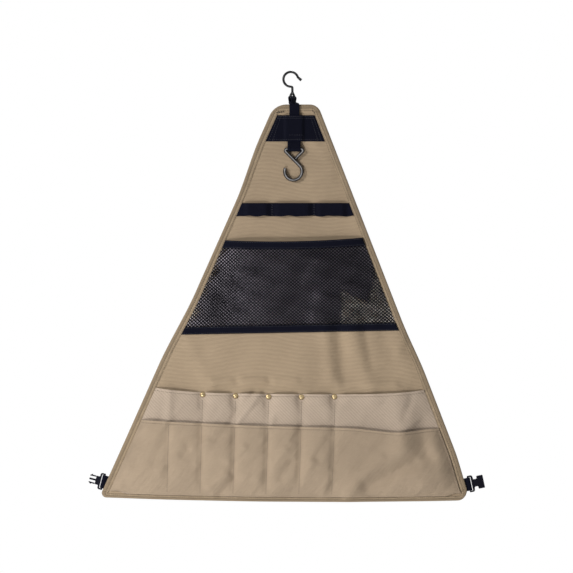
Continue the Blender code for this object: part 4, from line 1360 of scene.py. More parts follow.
@dataclass
class Webbing(Sewn):
    """The dark webbing: strap, loop, patch, rail and the two tabs."""

    finish: Finish
    stitching: Stitching
    thickness: float = 0.0015
    ply_gap: float = 0.0006
    columns: int = 15
    point_gap: float = 0.0011
    strap_radius: float = 0.0035
    strap_width: float = 0.019
    strap_free: float = 0.0119
    strap_lead_in: float = 0.0074
    strap_shift: float = 0.0068
    strap_tail: float = 0.043
    loop_radius: float = 0.004
    loop_drop: float = 0.0148
    loop_tail: float = 0.022
    patch_cloth: float = 0.0011
    patch_depth: float = 0.0208
    patch_height: float = 0.05
    patch_slope: float = 0.007
    patch_flat: float = 0.00165
    patch_ridge: float = 0.00665
    patch_room: float = 0.0014
    patch_share: float = 0.8
    patch_rows: tuple[tuple[float, float, float, float], ...] = (
        (-0.9, -0.9, 0.0, 1.0),
        (-0.77, -0.77, 0.0, 1.0),
        (0.9, 0.9, 0.0, 1.0),
        (0.77, 0.77, 0.0, 1.0),
        (-0.9, 0.9, 0.05, 0.05),
        (-0.9, 0.9, 0.12, 0.12),
        (-0.9, 0.9, 0.93, 0.93),
        (-0.24, 0.28, 0.76, 0.76),
    )
    rail_depth: float = 0.1888
    rail_height: float = 0.025
    rail_flat: float = 0.00185
    rail_bow: float = 0.0056
    rail_ramp: float = 0.012
    rail_tack: float = 0.004
    rail_shift: float = 0.0018
    rail_tack_offset: float = 0.0416
    rail_ripple: Pair = (0.0006, 0.0004)
    tab_width: float = 0.025
    tab_length: float = 0.027
    tab_radius: float = 0.003393
    tab_meet: float = 0.00585

    @property
    def inset(self) -> float:
        """Level distance from the side edge to the webbing's ends."""
        return self.outline.seam_inset

    def side(self, width: float) -> Array:
        """Places across a webbing of some width, from its middle."""
        return np.linspace(-0.5, 0.5, self.columns) * width

    def strip(self, name: str, places: Array, node: str, held: str, rests_on: str) -> Piece:
        """Makes one length of webbing with lighter rubbed selvedges.

        Args:
            name: Name of the piece.
            places: Its points, each row across it.
            node: Node that it replaces.
            held: How it is held.
            rests_on: What it lies on.

        Returns:
            The piece.
        """
        across = np.abs(np.linspace(-1.0, 1.0, places.shape[1]))[None, :]
        cloth = Cloth(name, node, places, self.thickness, self.finish, Grain.ALONG, 0.45 * across**14)
        width, length = (float(run_along(line)[-1]) for line in (places[0], places[:, places.shape[1] // 2]))
        return cloth.build((width, length), held, rests_on)

    def hanging_strap(self) -> Piece:
        """Makes the strap round the eye's bar, turned flat before it reaches the panel.

        Returns:
            The piece.
        """
        ply = (self.thickness + self.ply_gap) / 2
        meet = self.strap_free + self.thickness
        line = loop_line(self.strap_radius, -ply, ply, meet, self.strap_free + self.strap_tail)
        away, back = np.hsplit(even_line(line, self.point_gap), 2)
        share = smooth_step(self.strap_lead_in, self.strap_free, away)
        turn = EYE_TURN * (1 - share)
        side = self.side(self.strap_width)
        x = HANG_BAR[0] + (self.strap_shift - HANG_BAR[0]) * share - np.sin(turn) * back + np.cos(turn) * side
        y = np.cos(turn) * back + np.sin(turn) * side
        places = np.stack((x, y, HANG_BAR[1] - away + 0 * side), axis=-1)
        return self.strip("hanging_webbing", places, "hanging_strap", "folded", "hang_hook_wire")

    def front_loop(self) -> Piece:
        """Makes the loop that the front hook hangs in.

        Returns:
            The piece.
        """
        front = self.loop_radius - self.thickness - self.ply_gap
        reach = self.loop_drop + self.loop_tail
        line = loop_line(self.loop_radius, front, self.loop_radius, self.loop_drop, reach)
        away, back = np.hsplit(even_line(line, self.point_gap), 2)
        x = FRONT_BAR[0] + self.side(LOOP_WIDTH) + 0 * away
        places = np.stack((x, FRONT_BAR[1] + back + 0 * x, FRONT_BAR[2] + away + 0 * x), axis=-1)
        return self.strip("front_webbing_loop", places, "front_loop", "folded", "top_patch")

    def apex_patch(self) -> Piece:
        """Makes the wide patch, raised over the tails of strap and loop, with its box and bar stitches.

        Returns:
            The piece.
        """
        depth = self.patch_depth + self.patch_height * np.linspace(0.0, 1.0, 36)[:, None]
        share, depth = np.broadcast_arrays(np.linspace(-1.0, 1.0, 61), depth)
        places = self.ground.lay(share, depth, self.patch_forward(share, depth), self.inset)
        ends = [hill(depth[:, :1], depth[end, 0], 0.0012) for end in (0, -1)]
        wear_and_painted_light = 0.5 * np.maximum(*ends)
        cloth = Cloth("top_patch", "apex_patch", places, self.patch_cloth, self.finish, Grain.ALONG, wear_and_painted_light)
        width = float(self.outline.half_width(depth[-1, 0]) * 2)
        area = width * self.patch_height * self.patch_share
        built = cloth.build((width, self.patch_height), "laid", "backing_cloth", area)
        for first, last, top, foot in self.patch_rows:
            share = np.linspace(first, last, 60)
            depth = self.patch_depth + self.patch_height * np.linspace(top, foot, 60)
            forward = self.patch_forward(share, depth) + self.patch_cloth / 2 + self.stitching.seat
            self.stitching.sew(self.ground.lay(share, depth, forward, self.inset))
        return built

    def patch_forward(self, share: Array, depth: Array) -> Array:
        """Gives how far the patch stands forward of the panel's middle, most over the tails behind it.

        Args:
            share: Shares of the width.
            depth: Depths below the panel's top.

        Returns:
            The distance at each place.
        """
        tails = ((self.strap_shift, self.strap_width / 2), (FRONT_BAR[0], LOOP_WIDTH / 2))
        low = min(middle - half for middle, half in tails) - self.patch_room
        high = max(middle + half for middle, half in tails) + self.patch_room
        span = (low - self.patch_slope, low, high, high + self.patch_slope)
        ridge = plateau(span, self.outline.flat_x(share, depth, self.inset))
        return self.patch_flat + (self.patch_ridge - self.patch_flat) * ridge

    def rail(self) -> Piece:
        """Makes the rail, sewn at its ends and two tacks and bowed between them.

        Returns:
            The piece.
        """
        outline = self.outline
        level = np.linspace(0.0, 1.0, 17)[:, None]
        share = np.linspace(-1.0, 1.0, 150)
        slow, quick = self.rail_ripple
        ripple = slow * np.sin(share * 17.0) + quick * np.sin(share * 29.0 + 1.0)
        depth = self.rail_depth + self.rail_height * level + ripple * level
        x = outline.flat_x(share, depth, self.inset)
        tacks = [self.rail_shift - self.rail_tack_offset, self.rail_shift + self.rail_tack_offset]
        held = [float(x[0].min()), *tacks, float(x[0].max())]
        bow = np.zeros_like(x)
        for start, end in zip(held, held[1:]):
            start, end = start + self.rail_tack / 2, end - self.rail_tack / 2
            bow += plateau((start, start + self.rail_ramp, end - self.rail_ramp, end), x)
        places = self.ground.lay(share + 0 * x, depth, self.rail_flat + self.rail_bow * bow, self.inset)
        height = self.rail_flat + self.thickness / 2 + self.stitching.thread / 3
        for tack in tacks:
            for offset in (-0.0011, 0.0011):
                tack_depth = self.rail_depth + self.rail_height * np.linspace(0.04, 0.96, 30)
                self.stitching.sew(self.ground.lay_at(np.full(30, tack + offset), tack_depth, height))
        return self.strip("tool_rail", places, "webbing_rail", "stretched", "backing_cloth")

    def tab(self, side: str, bar: Vector, out: Vector) -> Piece:
        """Makes one tab, doubled round a buckle half's bar.

        Args:
            side: Side of the panel that it is sewn to.
            bar: Middle of the buckle half's bar.
            out: Direction from the panel to the buckle half's mouth.

        Returns:
            The piece.
        """
        ply = (self.thickness + self.ply_gap) / 2
        line = loop_line(self.tab_radius, -ply, ply, self.tab_meet, self.tab_length)
        away, back = (column[:, None, None] for column in even_line(line, self.point_gap).T)
        edgeways = np.array((-out.z, 0.0, out.x)) * (1.0 if out.x > 0 else -1.0)
        places = np.array(bar) - np.array(out) * away + edgeways * self.side(self.tab_width)[:, None]
        places = places + np.array((0.0, 1.0, 0.0)) * back
        return self.strip(f"{side}_webbing_tab", places, f"{side}_tab", "folded", "backing_cloth")


@dataclass
class NetPocket(Sewn):
    """The net pocket: an open diamond net with a folded top band and a flat foot band."""

    net_finish: Finish
    back_finish: Finish
    band_finish: Finish
    stitching: Stitching
    plane: float = 0.0016
    mouth_depth: float = 0.2575
    mouth_tilt: float = -0.0025
    mouth_sag: float = 0.0045
    foot_depth: float = 0.4365
    foot_tilt: float = -0.004
    bulge: float = 0.0115
    cord: float = 0.0009
    fold_room: float = 0.0005
    band_cloth: float = 0.001
    top_band: float = 0.015
    band_seam: float = 0.0022
    foot_band: float = 0.0145
    foot_seam: float = 0.002
    cell_width: float = 0.00713
    back_cell_width: float = 0.0079
    cell_rows: int = 25
    opening: float = 0.61
    back_opening: float = 0.2
    layer_room: float = 0.0024
    gap: float = 0.0003
    wide_opening: float = 0.85
    hole_stretch: float = 1.16
    band_overlap: float = 0.003
    slack: float = 0.0012
    left_strip: Pair = (0.035, 0.09)
    left_slant: float = 0.167
    low_patch: Triple = (0.7145, 0.528, 1.54)
    side_patch: Triple = (0.826, 0.70, 0.0548)
    side_rise: Pair = (0.2, 0.3)
    patches_rise: Pair = (0.70, 0.72)
    patches_soft: Pair = (0.03, 0.012)
    painted_light_span: Span = (0.02, 0.08, 0.94, 0.98)

    def mouth(self, share: Array) -> Array:
        """Depth of the mouth."""
        return self.mouth_depth + self.mouth_tilt * share + self.mouth_sag * (1 - share**2)

    def foot(self, share: Array) -> Array:
        """Depth of the foot."""
        return self.foot_depth + self.foot_tilt * share

    def forward(self, share: Array, depth: Array) -> Array:
        """Gives how far the net's middle stands forward of the panel's middle.

        Args:
            share: Shares of the width.
            depth: Depths below the panel's top.

        Returns:
            The distance at each place.
        """
        rise = self.rise(share, depth)
        reach = self.fold_room + self.band_cloth + self.bulge * (1 - share**4)
        slack = self.slack * np.sin(9.0 * share + 30.0 * rise) * np.sin(pi * rise) * (1 - share**4)
        return self.plane + reach * np.sin(rise * pi / 2) + slack

    def rise(self, share: Array, depth: Array) -> Array:
        """Share of the way up from the net's foot to its mouth."""
        return np.clip((self.foot(share) - depth) / (self.foot(share) - self.mouth(share)), 0.0, 1.0)

    def lay(self, share: Array, depth: Array, offset: Array | float = 0.0) -> Array:
        """Lays points on the net's plane, or forward of it by an offset."""
        forward = self.forward(share, depth) + offset
        return self.ground.lay(share, depth, forward, self.outline.seam_inset)

    def build(self) -> list[Piece]:
        """Makes both layers of the doubled net and its two bands.

        Returns:
            The pieces.
        """
        front = self.net("pocket_net", self.net_finish, self.cell_width, self.opening, 0.0)
        back = self.net("pocket_net_back", self.back_finish, self.back_cell_width, self.back_opening, 1.0)
        return [front, back, self.folded_band(), self.flat_band()]

    def net(self, name: str, finish: Finish, cell_width: float, opening: float, behind: float) -> Piece:
        """Makes one layer of the net: rows of diamonds with openings, cut to the panel's slanted sides.

        Args:
            name: Name of the piece.
            finish: Its finish.
            cell_width: Width of one diamond.
            opening: Share of a diamond's width that is open.
            behind: How much of the space between the layers it lies back, from 0 to 1.

        Returns:
            The piece.
        """
        outline = self.outline
        cover = self.top_band - self.band_overlap
        half = float(outline.half_width(self.foot_depth))
        columns = int(2 * half / cell_width) + 2
        rows = int(self.cell_rows * self.cell_width / cell_width)
        corners = np.array(((-0.5, 0.0), (-0.25, -0.25), (0.0, -0.5), (0.25, -0.25)))
        corners = np.concatenate((corners, -corners))
        hole = corners * np.tile((1.0, self.hole_stretch), 4)[:, None]
        cells = [(column, row) for row in range(rows) for column in range(columns)]
        cells += [(column + 0.5, row + 0.5) for row in range(rows - 1) for column in range(columns)]
        middles = np.array(cells)[:, None, :]
        widest = (self.wide_opening - opening) * behind
        open_share = opening + widest * self.wide_open(middles[:, 0] / (columns, rows))
        ring = np.concatenate((corners + 0 * middles, hole * open_share[:, None, None]), axis=1)
        grid = (middles + ring).reshape(-1, 2)
        x = (grid[:, 0] - columns / 2) * cell_width + float(outline.centre_x(self.foot_depth))
        level = np.clip((grid[:, 1] + 0.5) / rows, 0.0, 1.0)
        flat_depth = self.mouth_depth + (self.foot_depth - self.mouth_depth) * level
        share = np.clip(outline.share_at(x, flat_depth), -1.2, 1.2)
        top, foot = self.mouth(share) + cover, self.foot(share) - cover
        depth = top + (foot - top) * level
        starts = 2 * len(corners) * np.arange(len(cells))[:, None, None]
        turn, beside = np.arange(len(corners)), (np.arange(len(corners)) + 1) % len(corners)
        quads = starts + np.stack((turn, beside, beside + len(corners), turn + len(corners)), axis=-1)
        flat = np.stack((x, np.zeros_like(x), outline.top_z - depth), axis=1)
        mesh = link_mesh(name, flat.tolist(), quads.reshape(-1, 4).tolist())
        self.trim(mesh)
        self.hang(mesh, behind)
        piece = link_piece(name, mesh)
        thicken(piece, self.cord)
        dress(piece, finish, Body.PANEL, ("net_panel",))
        size = (2 * half, self.foot_depth - self.mouth_depth)
        return piece

    def wide_open(self, places: Array) -> Array:
        """Gives where the back layer is worn wide open, so that the panel's cloth shows through.

        Args:
            places: Shares across and up the net's grid.

        Returns:
            How open it is at each place, from 0 to 1.
        """
        across, down = places[:, 0], places[:, 1]
        left = 1 - smooth_step(*self.left_strip, across - self.left_slant * (1 - down))
        soft, sharp = self.patches_soft
        middle, level, slope = self.low_patch
        below = smooth_step(-soft, soft, down - level - slope * (across - middle))
        middle, level, slope = self.side_patch
        beside = smooth_step(-sharp, sharp, across - middle - slope * (level - down))
        beside *= smooth_step(*self.side_rise, down)
        low_right = np.maximum(below, beside) * smooth_step(*self.patches_rise, across)
        return np.clip(np.maximum(left, low_right), 0.0, 1.0)

    def painted_light(self, x: Array, z: Array) -> Array:
        """Gives where the panel's cloth shows through both layers and is painted pale, a painted light.

        Args:
            x: Places across.
            z: Places up.

        Returns:
            How faded the cloth is at each place, from 0 to 1.
        """
        outline = self.outline
        across = (x - outline.centre_x(self.foot_depth)) / (2 * outline.half_width(self.foot_depth)) + 0.5
        level = (outline.top_z - z - self.mouth_depth) / (self.foot_depth - self.mouth_depth)
        places = np.stack((across.ravel(), level.ravel()), axis=1)
        return self.wide_open(places).reshape(x.shape) * plateau(self.painted_light_span, level)

    def trim(self, mesh: bpy.types.Mesh) -> None:
        """Cuts the flat net along the panel's sides and joins its cells.

        Args:
            mesh: The flat net's mesh.
        """
        inset, top = self.outline.seam_inset, self.outline.top_z
        work = bmesh.new()
        work.from_mesh(mesh)
        bmesh.ops.remove_doubles(work, verts=work.verts, dist=self.cell_width * 0.02)
        for side in (-1, 1):
            depths = (self.mouth_depth, self.foot_depth)
            ends = [(self.outline.flat_x(side, depth, inset), 0, top - depth) for depth in depths]
            high, low = (Vector(end) for end in ends)
            normal = (low - high).cross(Vector((0.0, 1.0, 0.0))).normalized()
            normal = normal if normal.x * side > 0 else -normal
            geometry = [*work.verts, *work.edges, *work.faces]
            bmesh.ops.bisect_plane(work, geom=geometry, plane_co=high, plane_no=normal, clear_outer=True)
        bmesh.ops.recalc_face_normals(work, faces=work.faces)
        work.to_mesh(mesh)
        work.free()

    def hang(self, mesh: bpy.types.Mesh, behind: float) -> None:
        """Moves a flat layer to where it hangs, and writes its threads' places.

        Args:
            mesh: The layer's mesh.
            behind: How much of the space between the layers it lies back.
        """
        outline = self.outline
        flat = np.zeros(len(mesh.vertices) * 3)
        mesh.vertices.foreach_get("co", flat)
        x, z = flat.reshape(-1, 3)[:, 0], flat.reshape(-1, 3)[:, 2]
        depth = outline.top_z - z
        share = np.clip(outline.share_at(x, depth, outline.seam_inset), -1.0, 1.0)
        room = self.layer_room * (1 - share**4) * np.sin(pi * self.rise(share, depth)) ** 0.5
        apart = self.cord + self.gap + room
        places = self.lay(share, depth, -behind * apart)
        mesh.vertices.foreach_set("co", places.ravel())
        mesh.update()
        run_threads(mesh, np.stack((x, z), axis=1))
        # Painted light and shade on the back layer: lighter towards the left, in slanting streaks and in the
        # listed bands, darker in the bands of negative height.
        streaks = 0.85 + 0.15 * np.sin(52.0 * (x + 0.75 * z) + 1.6 * np.sin(21.0 * z))
        left = 1 - smooth_step(-0.75, 0.35, share)
        tone = 0.55 * streaks * left + sum(tone.lift(x, z) for tone in NET_PAINTED_LIGHT_AND_SHADE)
        mark_wear_and_painted_light(mesh, behind * np.clip(tone, 0.0, 1.0))

    def folded_band(self) -> Piece:
        """Makes the band folded over the net's mouth, with its two rows of stitches.

        Returns:
            The piece.
        """
        middle = self.cord / 2 + self.fold_room + self.band_cloth / 2
        reach = middle + self.band_cloth / 2
        front = [(inset, middle) for inset in np.linspace(self.top_band, reach, 8)]
        fold = [(reach - middle * sin(pi * step / 8), middle * cos(pi * step / 8)) for step in range(1, 8)]
        section = front + fold + [(inset, -offset) for inset, offset in reversed(front)]
        share = np.linspace(-1.0, 1.0, 110)
        places = np.stack([self.lay(share, self.mouth(share) + inset, offset) for inset, offset in section])
        wear_and_painted_light = 0.4 * hill(np.array([inset for inset, _ in section]), 0.0, 0.002)[:, None]
        names = ("net_top_tape", "net_top_band")
        cloth = Cloth(*names, places, self.band_cloth, self.band_finish, Grain.ALONG, wear_and_painted_light)
        width = float(2 * self.outline.half_width(self.mouth_depth))
        built = cloth.build((width, 2 * self.top_band), "folded", "pocket_net")
        for inset in (self.band_seam, self.top_band - self.band_seam):
            self.stitching.sew(self.lay(share, self.mouth(share) + inset, reach + self.stitching.seat))
        return built

    def flat_band(self) -> Piece:
        """Makes the flat band over the net's foot, with its two rows of stitches.

        Returns:
            The piece.
        """
        offset = self.cord / 2 + self.gap + self.band_cloth / 2
        share = np.linspace(-1.0, 1.0, 120)
        rises = np.linspace(0.0, self.foot_band, 8)
        places = np.stack([self.lay(share, self.foot(share) - rise, offset) for rise in rises])
        names = ("net_foot_tape", "net_bottom_band")
        cloth = Cloth(*names, places, self.band_cloth, self.band_finish, Grain.ALONG)
        width = float(2 * self.outline.half_width(self.foot_depth))
        built = cloth.build((width, self.foot_band), "laid", "pocket_net")
        height = offset + self.band_cloth / 2 + self.stitching.seat
        for rise in (self.foot_seam, self.foot_band - self.foot_seam):
            self.stitching.sew(self.lay(share, self.foot(share) - rise, height))
        return built


@dataclass
class PocketBands(Sewn):
    """The two rows of cloth pockets: a taller twill band behind and a plain one in front."""

    rear_finish: Finish
    front_finish: Finish
    stitching: Stitching
    cloth: float = 0.0009
    plane: float = 0.00155
    gap: float = 0.0003
    pitch: float = 0.063
    first_seam: float = 0.0885
    seams: int = 5
    rivet_flat: float = 0.0062
    rivet_room: float = 0.014
    seam_flat: float = 0.0024
    seam_fill: float = 0.56
    edge_flat: float = 0.0015
    rise: float = 0.055
    rear_depth: float = 0.544
    rear_tilt: float = 0.002
    rear_sag: float = 0.0095
    rear_bulge: float = 0.0075
    front_depth: float = 0.6105
    front_tilt: float = 0.007
    front_sag: float = 0.004
    front_bulge: float = 0.0075
    front_dip: float = 0.008
    front_dip_place: float = 0.71
    front_dip_reach: float = 0.2
    rivet_span: Pair = (0.024, 0.041)
    fill_span: Pair = (0.02, 0.05)
    hem_fold: float = 0.0048
    hem_rise: float = 0.0005
    hem_tape: float = 0.0082
    columns: int = 15
    column_gap: float = 0.0045
    rows: int = 48
    mouth_rows: tuple[float, ...] = (0.0, 0.0008, 0.002, 0.0034, 0.0044, 0.0049, 0.0056, 0.0075)
    pucker: float = 0.00035
    cut_share: float = 0.93

    def offsets(self, row: Row) -> list[float]:
        """Distances of a row's seams from the panel's middle line; the front has one more at the left."""
        shared = sorted(self.first_seam - self.pitch * count for count in range(self.seams))
        return shared if row is Row.REAR else [shared[0] - self.pitch, *shared]

    @property
    def foot_depth(self) -> float:
        """Depth where both bands meet the hem's binding."""
        return self.outline.height - self.outline.binding_width - self.gap

    def foot(self, share: Array) -> Array:
        """Depth of the bands' feet, which follow the hem's tape."""
        narrow = plateau(self.outline.hem_narrow_span, (share + 1) / 2)
        return self.foot_depth + (self.outline.binding_width - self.hem_tape) * narrow

    def mouth(self, row: Row, share: Array) -> Array:
        """Gives the depth of a row's mouth, which dips in front where the cloth is slack.

        Args:
            row: Which row.
            share: Shares of the width.

        Returns:
            The depth at each share.
        """
        if row is Row.REAR:
            return self.rear_depth + self.rear_tilt * share + self.rear_sag * (1 - share**4)
        dip = self.front_dip * hill(share, self.front_dip_place, self.front_dip_reach)
        return self.front_depth + self.front_tilt * share + self.front_sag * (1 - share**2) + dip

    def walls(self, row: Row, depth: Array) -> list[tuple[Array, Array]]:
        """Gives each pocket's two sides.

        Args:
            row: Row of pockets.
            depth: Depths below the panel's top.

        Returns:
            A pair of X at each depth for every pocket.
        """
        outline = self.outline
        offsets, middle = self.offsets(row), outline.centre_x(depth)
        reach = outline.half_width(depth) - outline.seam_inset - self.edge_flat
        below = smooth_step(*(self.rear_depth + drop for drop in self.rivet_span), depth)
        flat = self.rivet_flat + (self.seam_flat - self.rivet_flat) * below
        starts = [middle - reach, *(middle + offset + flat for offset in offsets)]
        ends = [*(middle + offset - flat for offset in offsets), middle + reach]
        return list(zip(starts, ends))

    def swell(self, row: Row, x: Array, depth: Array) -> Array:
        """Gives the share of its full swelling that a band has.

        Args:
            row: Row of pockets.
            x: Flat places across.
            depth: Depths below the panel's top.

        Returns:
            The share at each place.
        """
        total = np.zeros(np.broadcast(x, depth).shape)
        for start, end in self.walls(row, depth):
            across = np.clip(np.abs(2 * (x - start) / (end - start) - 1), 0.0, 1.0)
            total += (1 - across**2.8) ** 0.75
        below = smooth_step(*(self.rear_depth + drop for drop in self.fill_span), depth)
        outline = self.outline
        beside = 1 - smooth_step(0.9, 0.985, np.abs(outline.share_at(x, depth, outline.seam_inset)))
        total += (1 - total) * self.seam_fill * below * beside
        height = np.clip((self.foot_depth - depth) / self.rise, 0.0, 1.0)
        return total * np.sin(pi / 2 * height**0.8)

    def forward(self, row: Row, x: Array, depth: Array) -> Array:
        """Gives how far a row's cloth stands forward of the panel's middle.

        Args:
            row: Row of pockets.
            x: Flat places across.
            depth: Depths below the panel's top.

        Returns:
            The distance at each place.
        """
        rear = self.plane + self.rear_bulge * self.swell(Row.REAR, x, depth)
        if row is Row.REAR:
            return rear
        return rear + self.gap + self.cloth + self.front_bulge * self.swell(row, x, depth)

    def band(self, row: Row, finish: Finish) -> Piece:
        """Makes one row's cloth from the hem up to its folded mouth.

        Args:
            row: Row of pockets.
            finish: Its finish.

        Returns:
            The piece.
        """
        outline = self.outline
        near = np.array(self.mouth_rows)
        start = near[-1] + 0.004
        share = np.zeros((1, 1))
        for _ in range(3):
            top = self.mouth(row, share)
            below = np.linspace(0.0, 1.0, self.rows)[:, None] * (self.foot(share) - top - start) + start
            down = np.concatenate((near[:, None] + 0 * top, below + 0 * top))
            depth = top + down
            x = self.column_places(row, depth)
            share = outline.share_at(x[:1], depth[:1], outline.seam_inset)
        hem = self.hem_rise * (1 - smooth_step(self.hem_fold - 0.0005, self.hem_fold + 0.0006, down))
        pucker = self.pucker * hill(down, self.hem_fold, 0.0006)
        places = self.ground.lay_at(x, depth, self.forward(row, x, depth) + hem - pucker)
        wear_and_painted_light = 0.9 * hill(down, 0.0, 0.0016)
        names = (f"{row.value}_pockets", f"{row.value}_pocket_band")
        length = float(self.foot_depth - self.mouth(row, np.zeros(1))[0])
        size = (float(2 * outline.half_width(self.foot_depth)), length)
        cloth = Cloth(*names, places, self.cloth, finish, Grain.UPRIGHT, wear_and_painted_light)
        built = cloth.build(size, "hung", "backing_cloth", size[0] * size[1] * self.cut_share)
        line = np.linspace(-1.0, 1.0, 400)
        depth = self.mouth(row, line) + self.hem_fold
        self.sew(row, outline.flat_x(line, depth, outline.seam_inset), depth)
        return built

    def column_places(self, row: Row, depth: Array) -> Array:
        """Gives the X of every column of a band at rows of depths.

        Args:
            row: Row of pockets.
            depth: Depths, one column or one for each of the band's columns.

        Returns:
            X in rows and columns.
        """
        outline = self.outline
        offsets = self.offsets(row)
        widths = [float((end - start)[0]) for start, end in self.walls(row, np.array([self.foot_depth]))]
        counts = [max(self.columns, int(width / self.column_gap)) for width in widths]
        every = np.broadcast_to(depth, (depth.shape[0], sum(counts) + len(offsets) + 2))
        x = np.zeros(every.shape)
        for side, column in ((-1, 0), (1, -1)):
            x[:, column] = outline.flat_x(side, every[:, column], outline.seam_inset)
        column = 1
        for number, (start, end) in enumerate(self.walls(row, every)):
            block = slice(column, column + counts[number])
            x[:, block] = start[:, block] + (end - start)[:, block] * np.linspace(0.0, 1.0, counts[number])
            column += counts[number]
            if number < len(offsets):
                x[:, column] = outline.centre_x(every[:, column]) + offsets[number]
                column += 1
        return x

    def sew(self, row: Row, x: Array, depth: Array) -> None:
        """Sews a row of stitches on a row of pockets, along flat places on the panel."""
        height = self.forward(row, x, depth) + self.cloth / 2 + self.stitching.seat
        self.stitching.sew(self.ground.lay_at(x, depth, height))

    def build(self) -> list[Piece]:
        """Makes both rows and the seams between their pockets.

        Returns:
            The pieces.
        """
        made = [self.band(Row.REAR, self.rear_finish), self.band(Row.FRONT, self.front_finish)]
        for offset in self.offsets(Row.REAR):
            share = offset / self.outline.half_width(self.rear_depth)
            ends = (self.mouth(Row.REAR, share) + self.rivet_room, self.mouth(Row.FRONT, share))
            depth = np.linspace(*ends, 40)
            self.sew(Row.REAR, self.outline.centre_x(depth) + offset, depth)
        for offset in self.offsets(Row.FRONT):
            share = offset / self.outline.half_width(self.front_depth)
            depth = np.linspace(self.mouth(Row.FRONT, share) + 0.001, self.foot_depth, 60)
            self.sew(Row.FRONT, self.outline.centre_x(depth) + offset, depth)
        return made


@dataclass
class Rivet:
    """One rivet: a domed cap in front and a flat back behind the panel, turned round the CAD's axis."""

    number: int
    finish: Finish
    turns: int = 40
    head: float = 0.0027
    cap: tuple[Pair, ...] = (
        *((0.0, 1.0), (0.2, 0.985), (0.4, 0.93), (0.58, 0.83), (0.74, 0.68), (0.87, 0.5)),
        *((0.95, 0.34), (0.99, 0.22), (1.0, 0.12), (0.985, 0.03), (0.95, 0.0), (0.0, 0.0)),
    )
    back: tuple[Pair, ...] = (
        *((0.0, 0.82), (0.45, 0.82), (0.52, 0.9), (0.86, 1.0), (0.96, 0.86)),
        *((1.0, 0.6), (1.0, 0.25), (0.95, 0.05), (0.88, 0.0), (0.0, 0.0)),
    )

    def build(self) -> list[Piece]:
        """Makes the cap and the back."""
        dome = self.turn("rivet_dome", "rivet_cap", self.cap, -1.0)
        return [dome, self.turn("rivet_washer", "rivet_back", self.back, 1.0)]

    def turn(self, name: str, node: str, profile: Sequence[Pair], facing: float) -> Piece:
        """Turns a profile round the node's axis.

        Args:
            name: Name of the piece, less its number.
            node: Node that it replaces, less its number; a cap's box takes in the post behind its head.
            profile: Shares of its radius and height, from its middle outside to its middle inside.
            facing: Which way it faces along Y.

        Returns:
            The piece.
        """
        name, node = f"{name}_{self.number}", f"{node}_{self.number}"
        low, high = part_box(node)
        middle = (low + high) / 2
        radius = (high.x - low.x) / 2
        height = self.head if facing < 0 else high.y - low.y
        foot = (low.y if facing < 0 else high.y) - facing * height
        spokes = [ring_direction(2 * pi * step / self.turns) * radius for step in range(self.turns)]
        work = bmesh.new()
        rows = []
        for reach, rise in profile:
            hub = Vector((middle.x, foot + facing * height * rise, middle.z))
            rows.append([work.verts.new(hub + spoke * reach) for spoke in spokes])
        for inner, outer in zip(rows, rows[1:]):
            for step in range(self.turns):
                beside = (step + 1) % self.turns
                work.faces.new((inner[step], inner[beside], outer[beside], outer[step]))
        bmesh.ops.remove_doubles(work, verts=work.verts, dist=radius / 500)
        bmesh.ops.recalc_face_normals(work, faces=work.faces)
        mesh = bpy.data.meshes.new(name)
        work.to_mesh(mesh)
        work.free()
        mesh.shade_smooth()
        return dress(link_piece(name, mesh), self.finish, Body.PANEL, (node,))


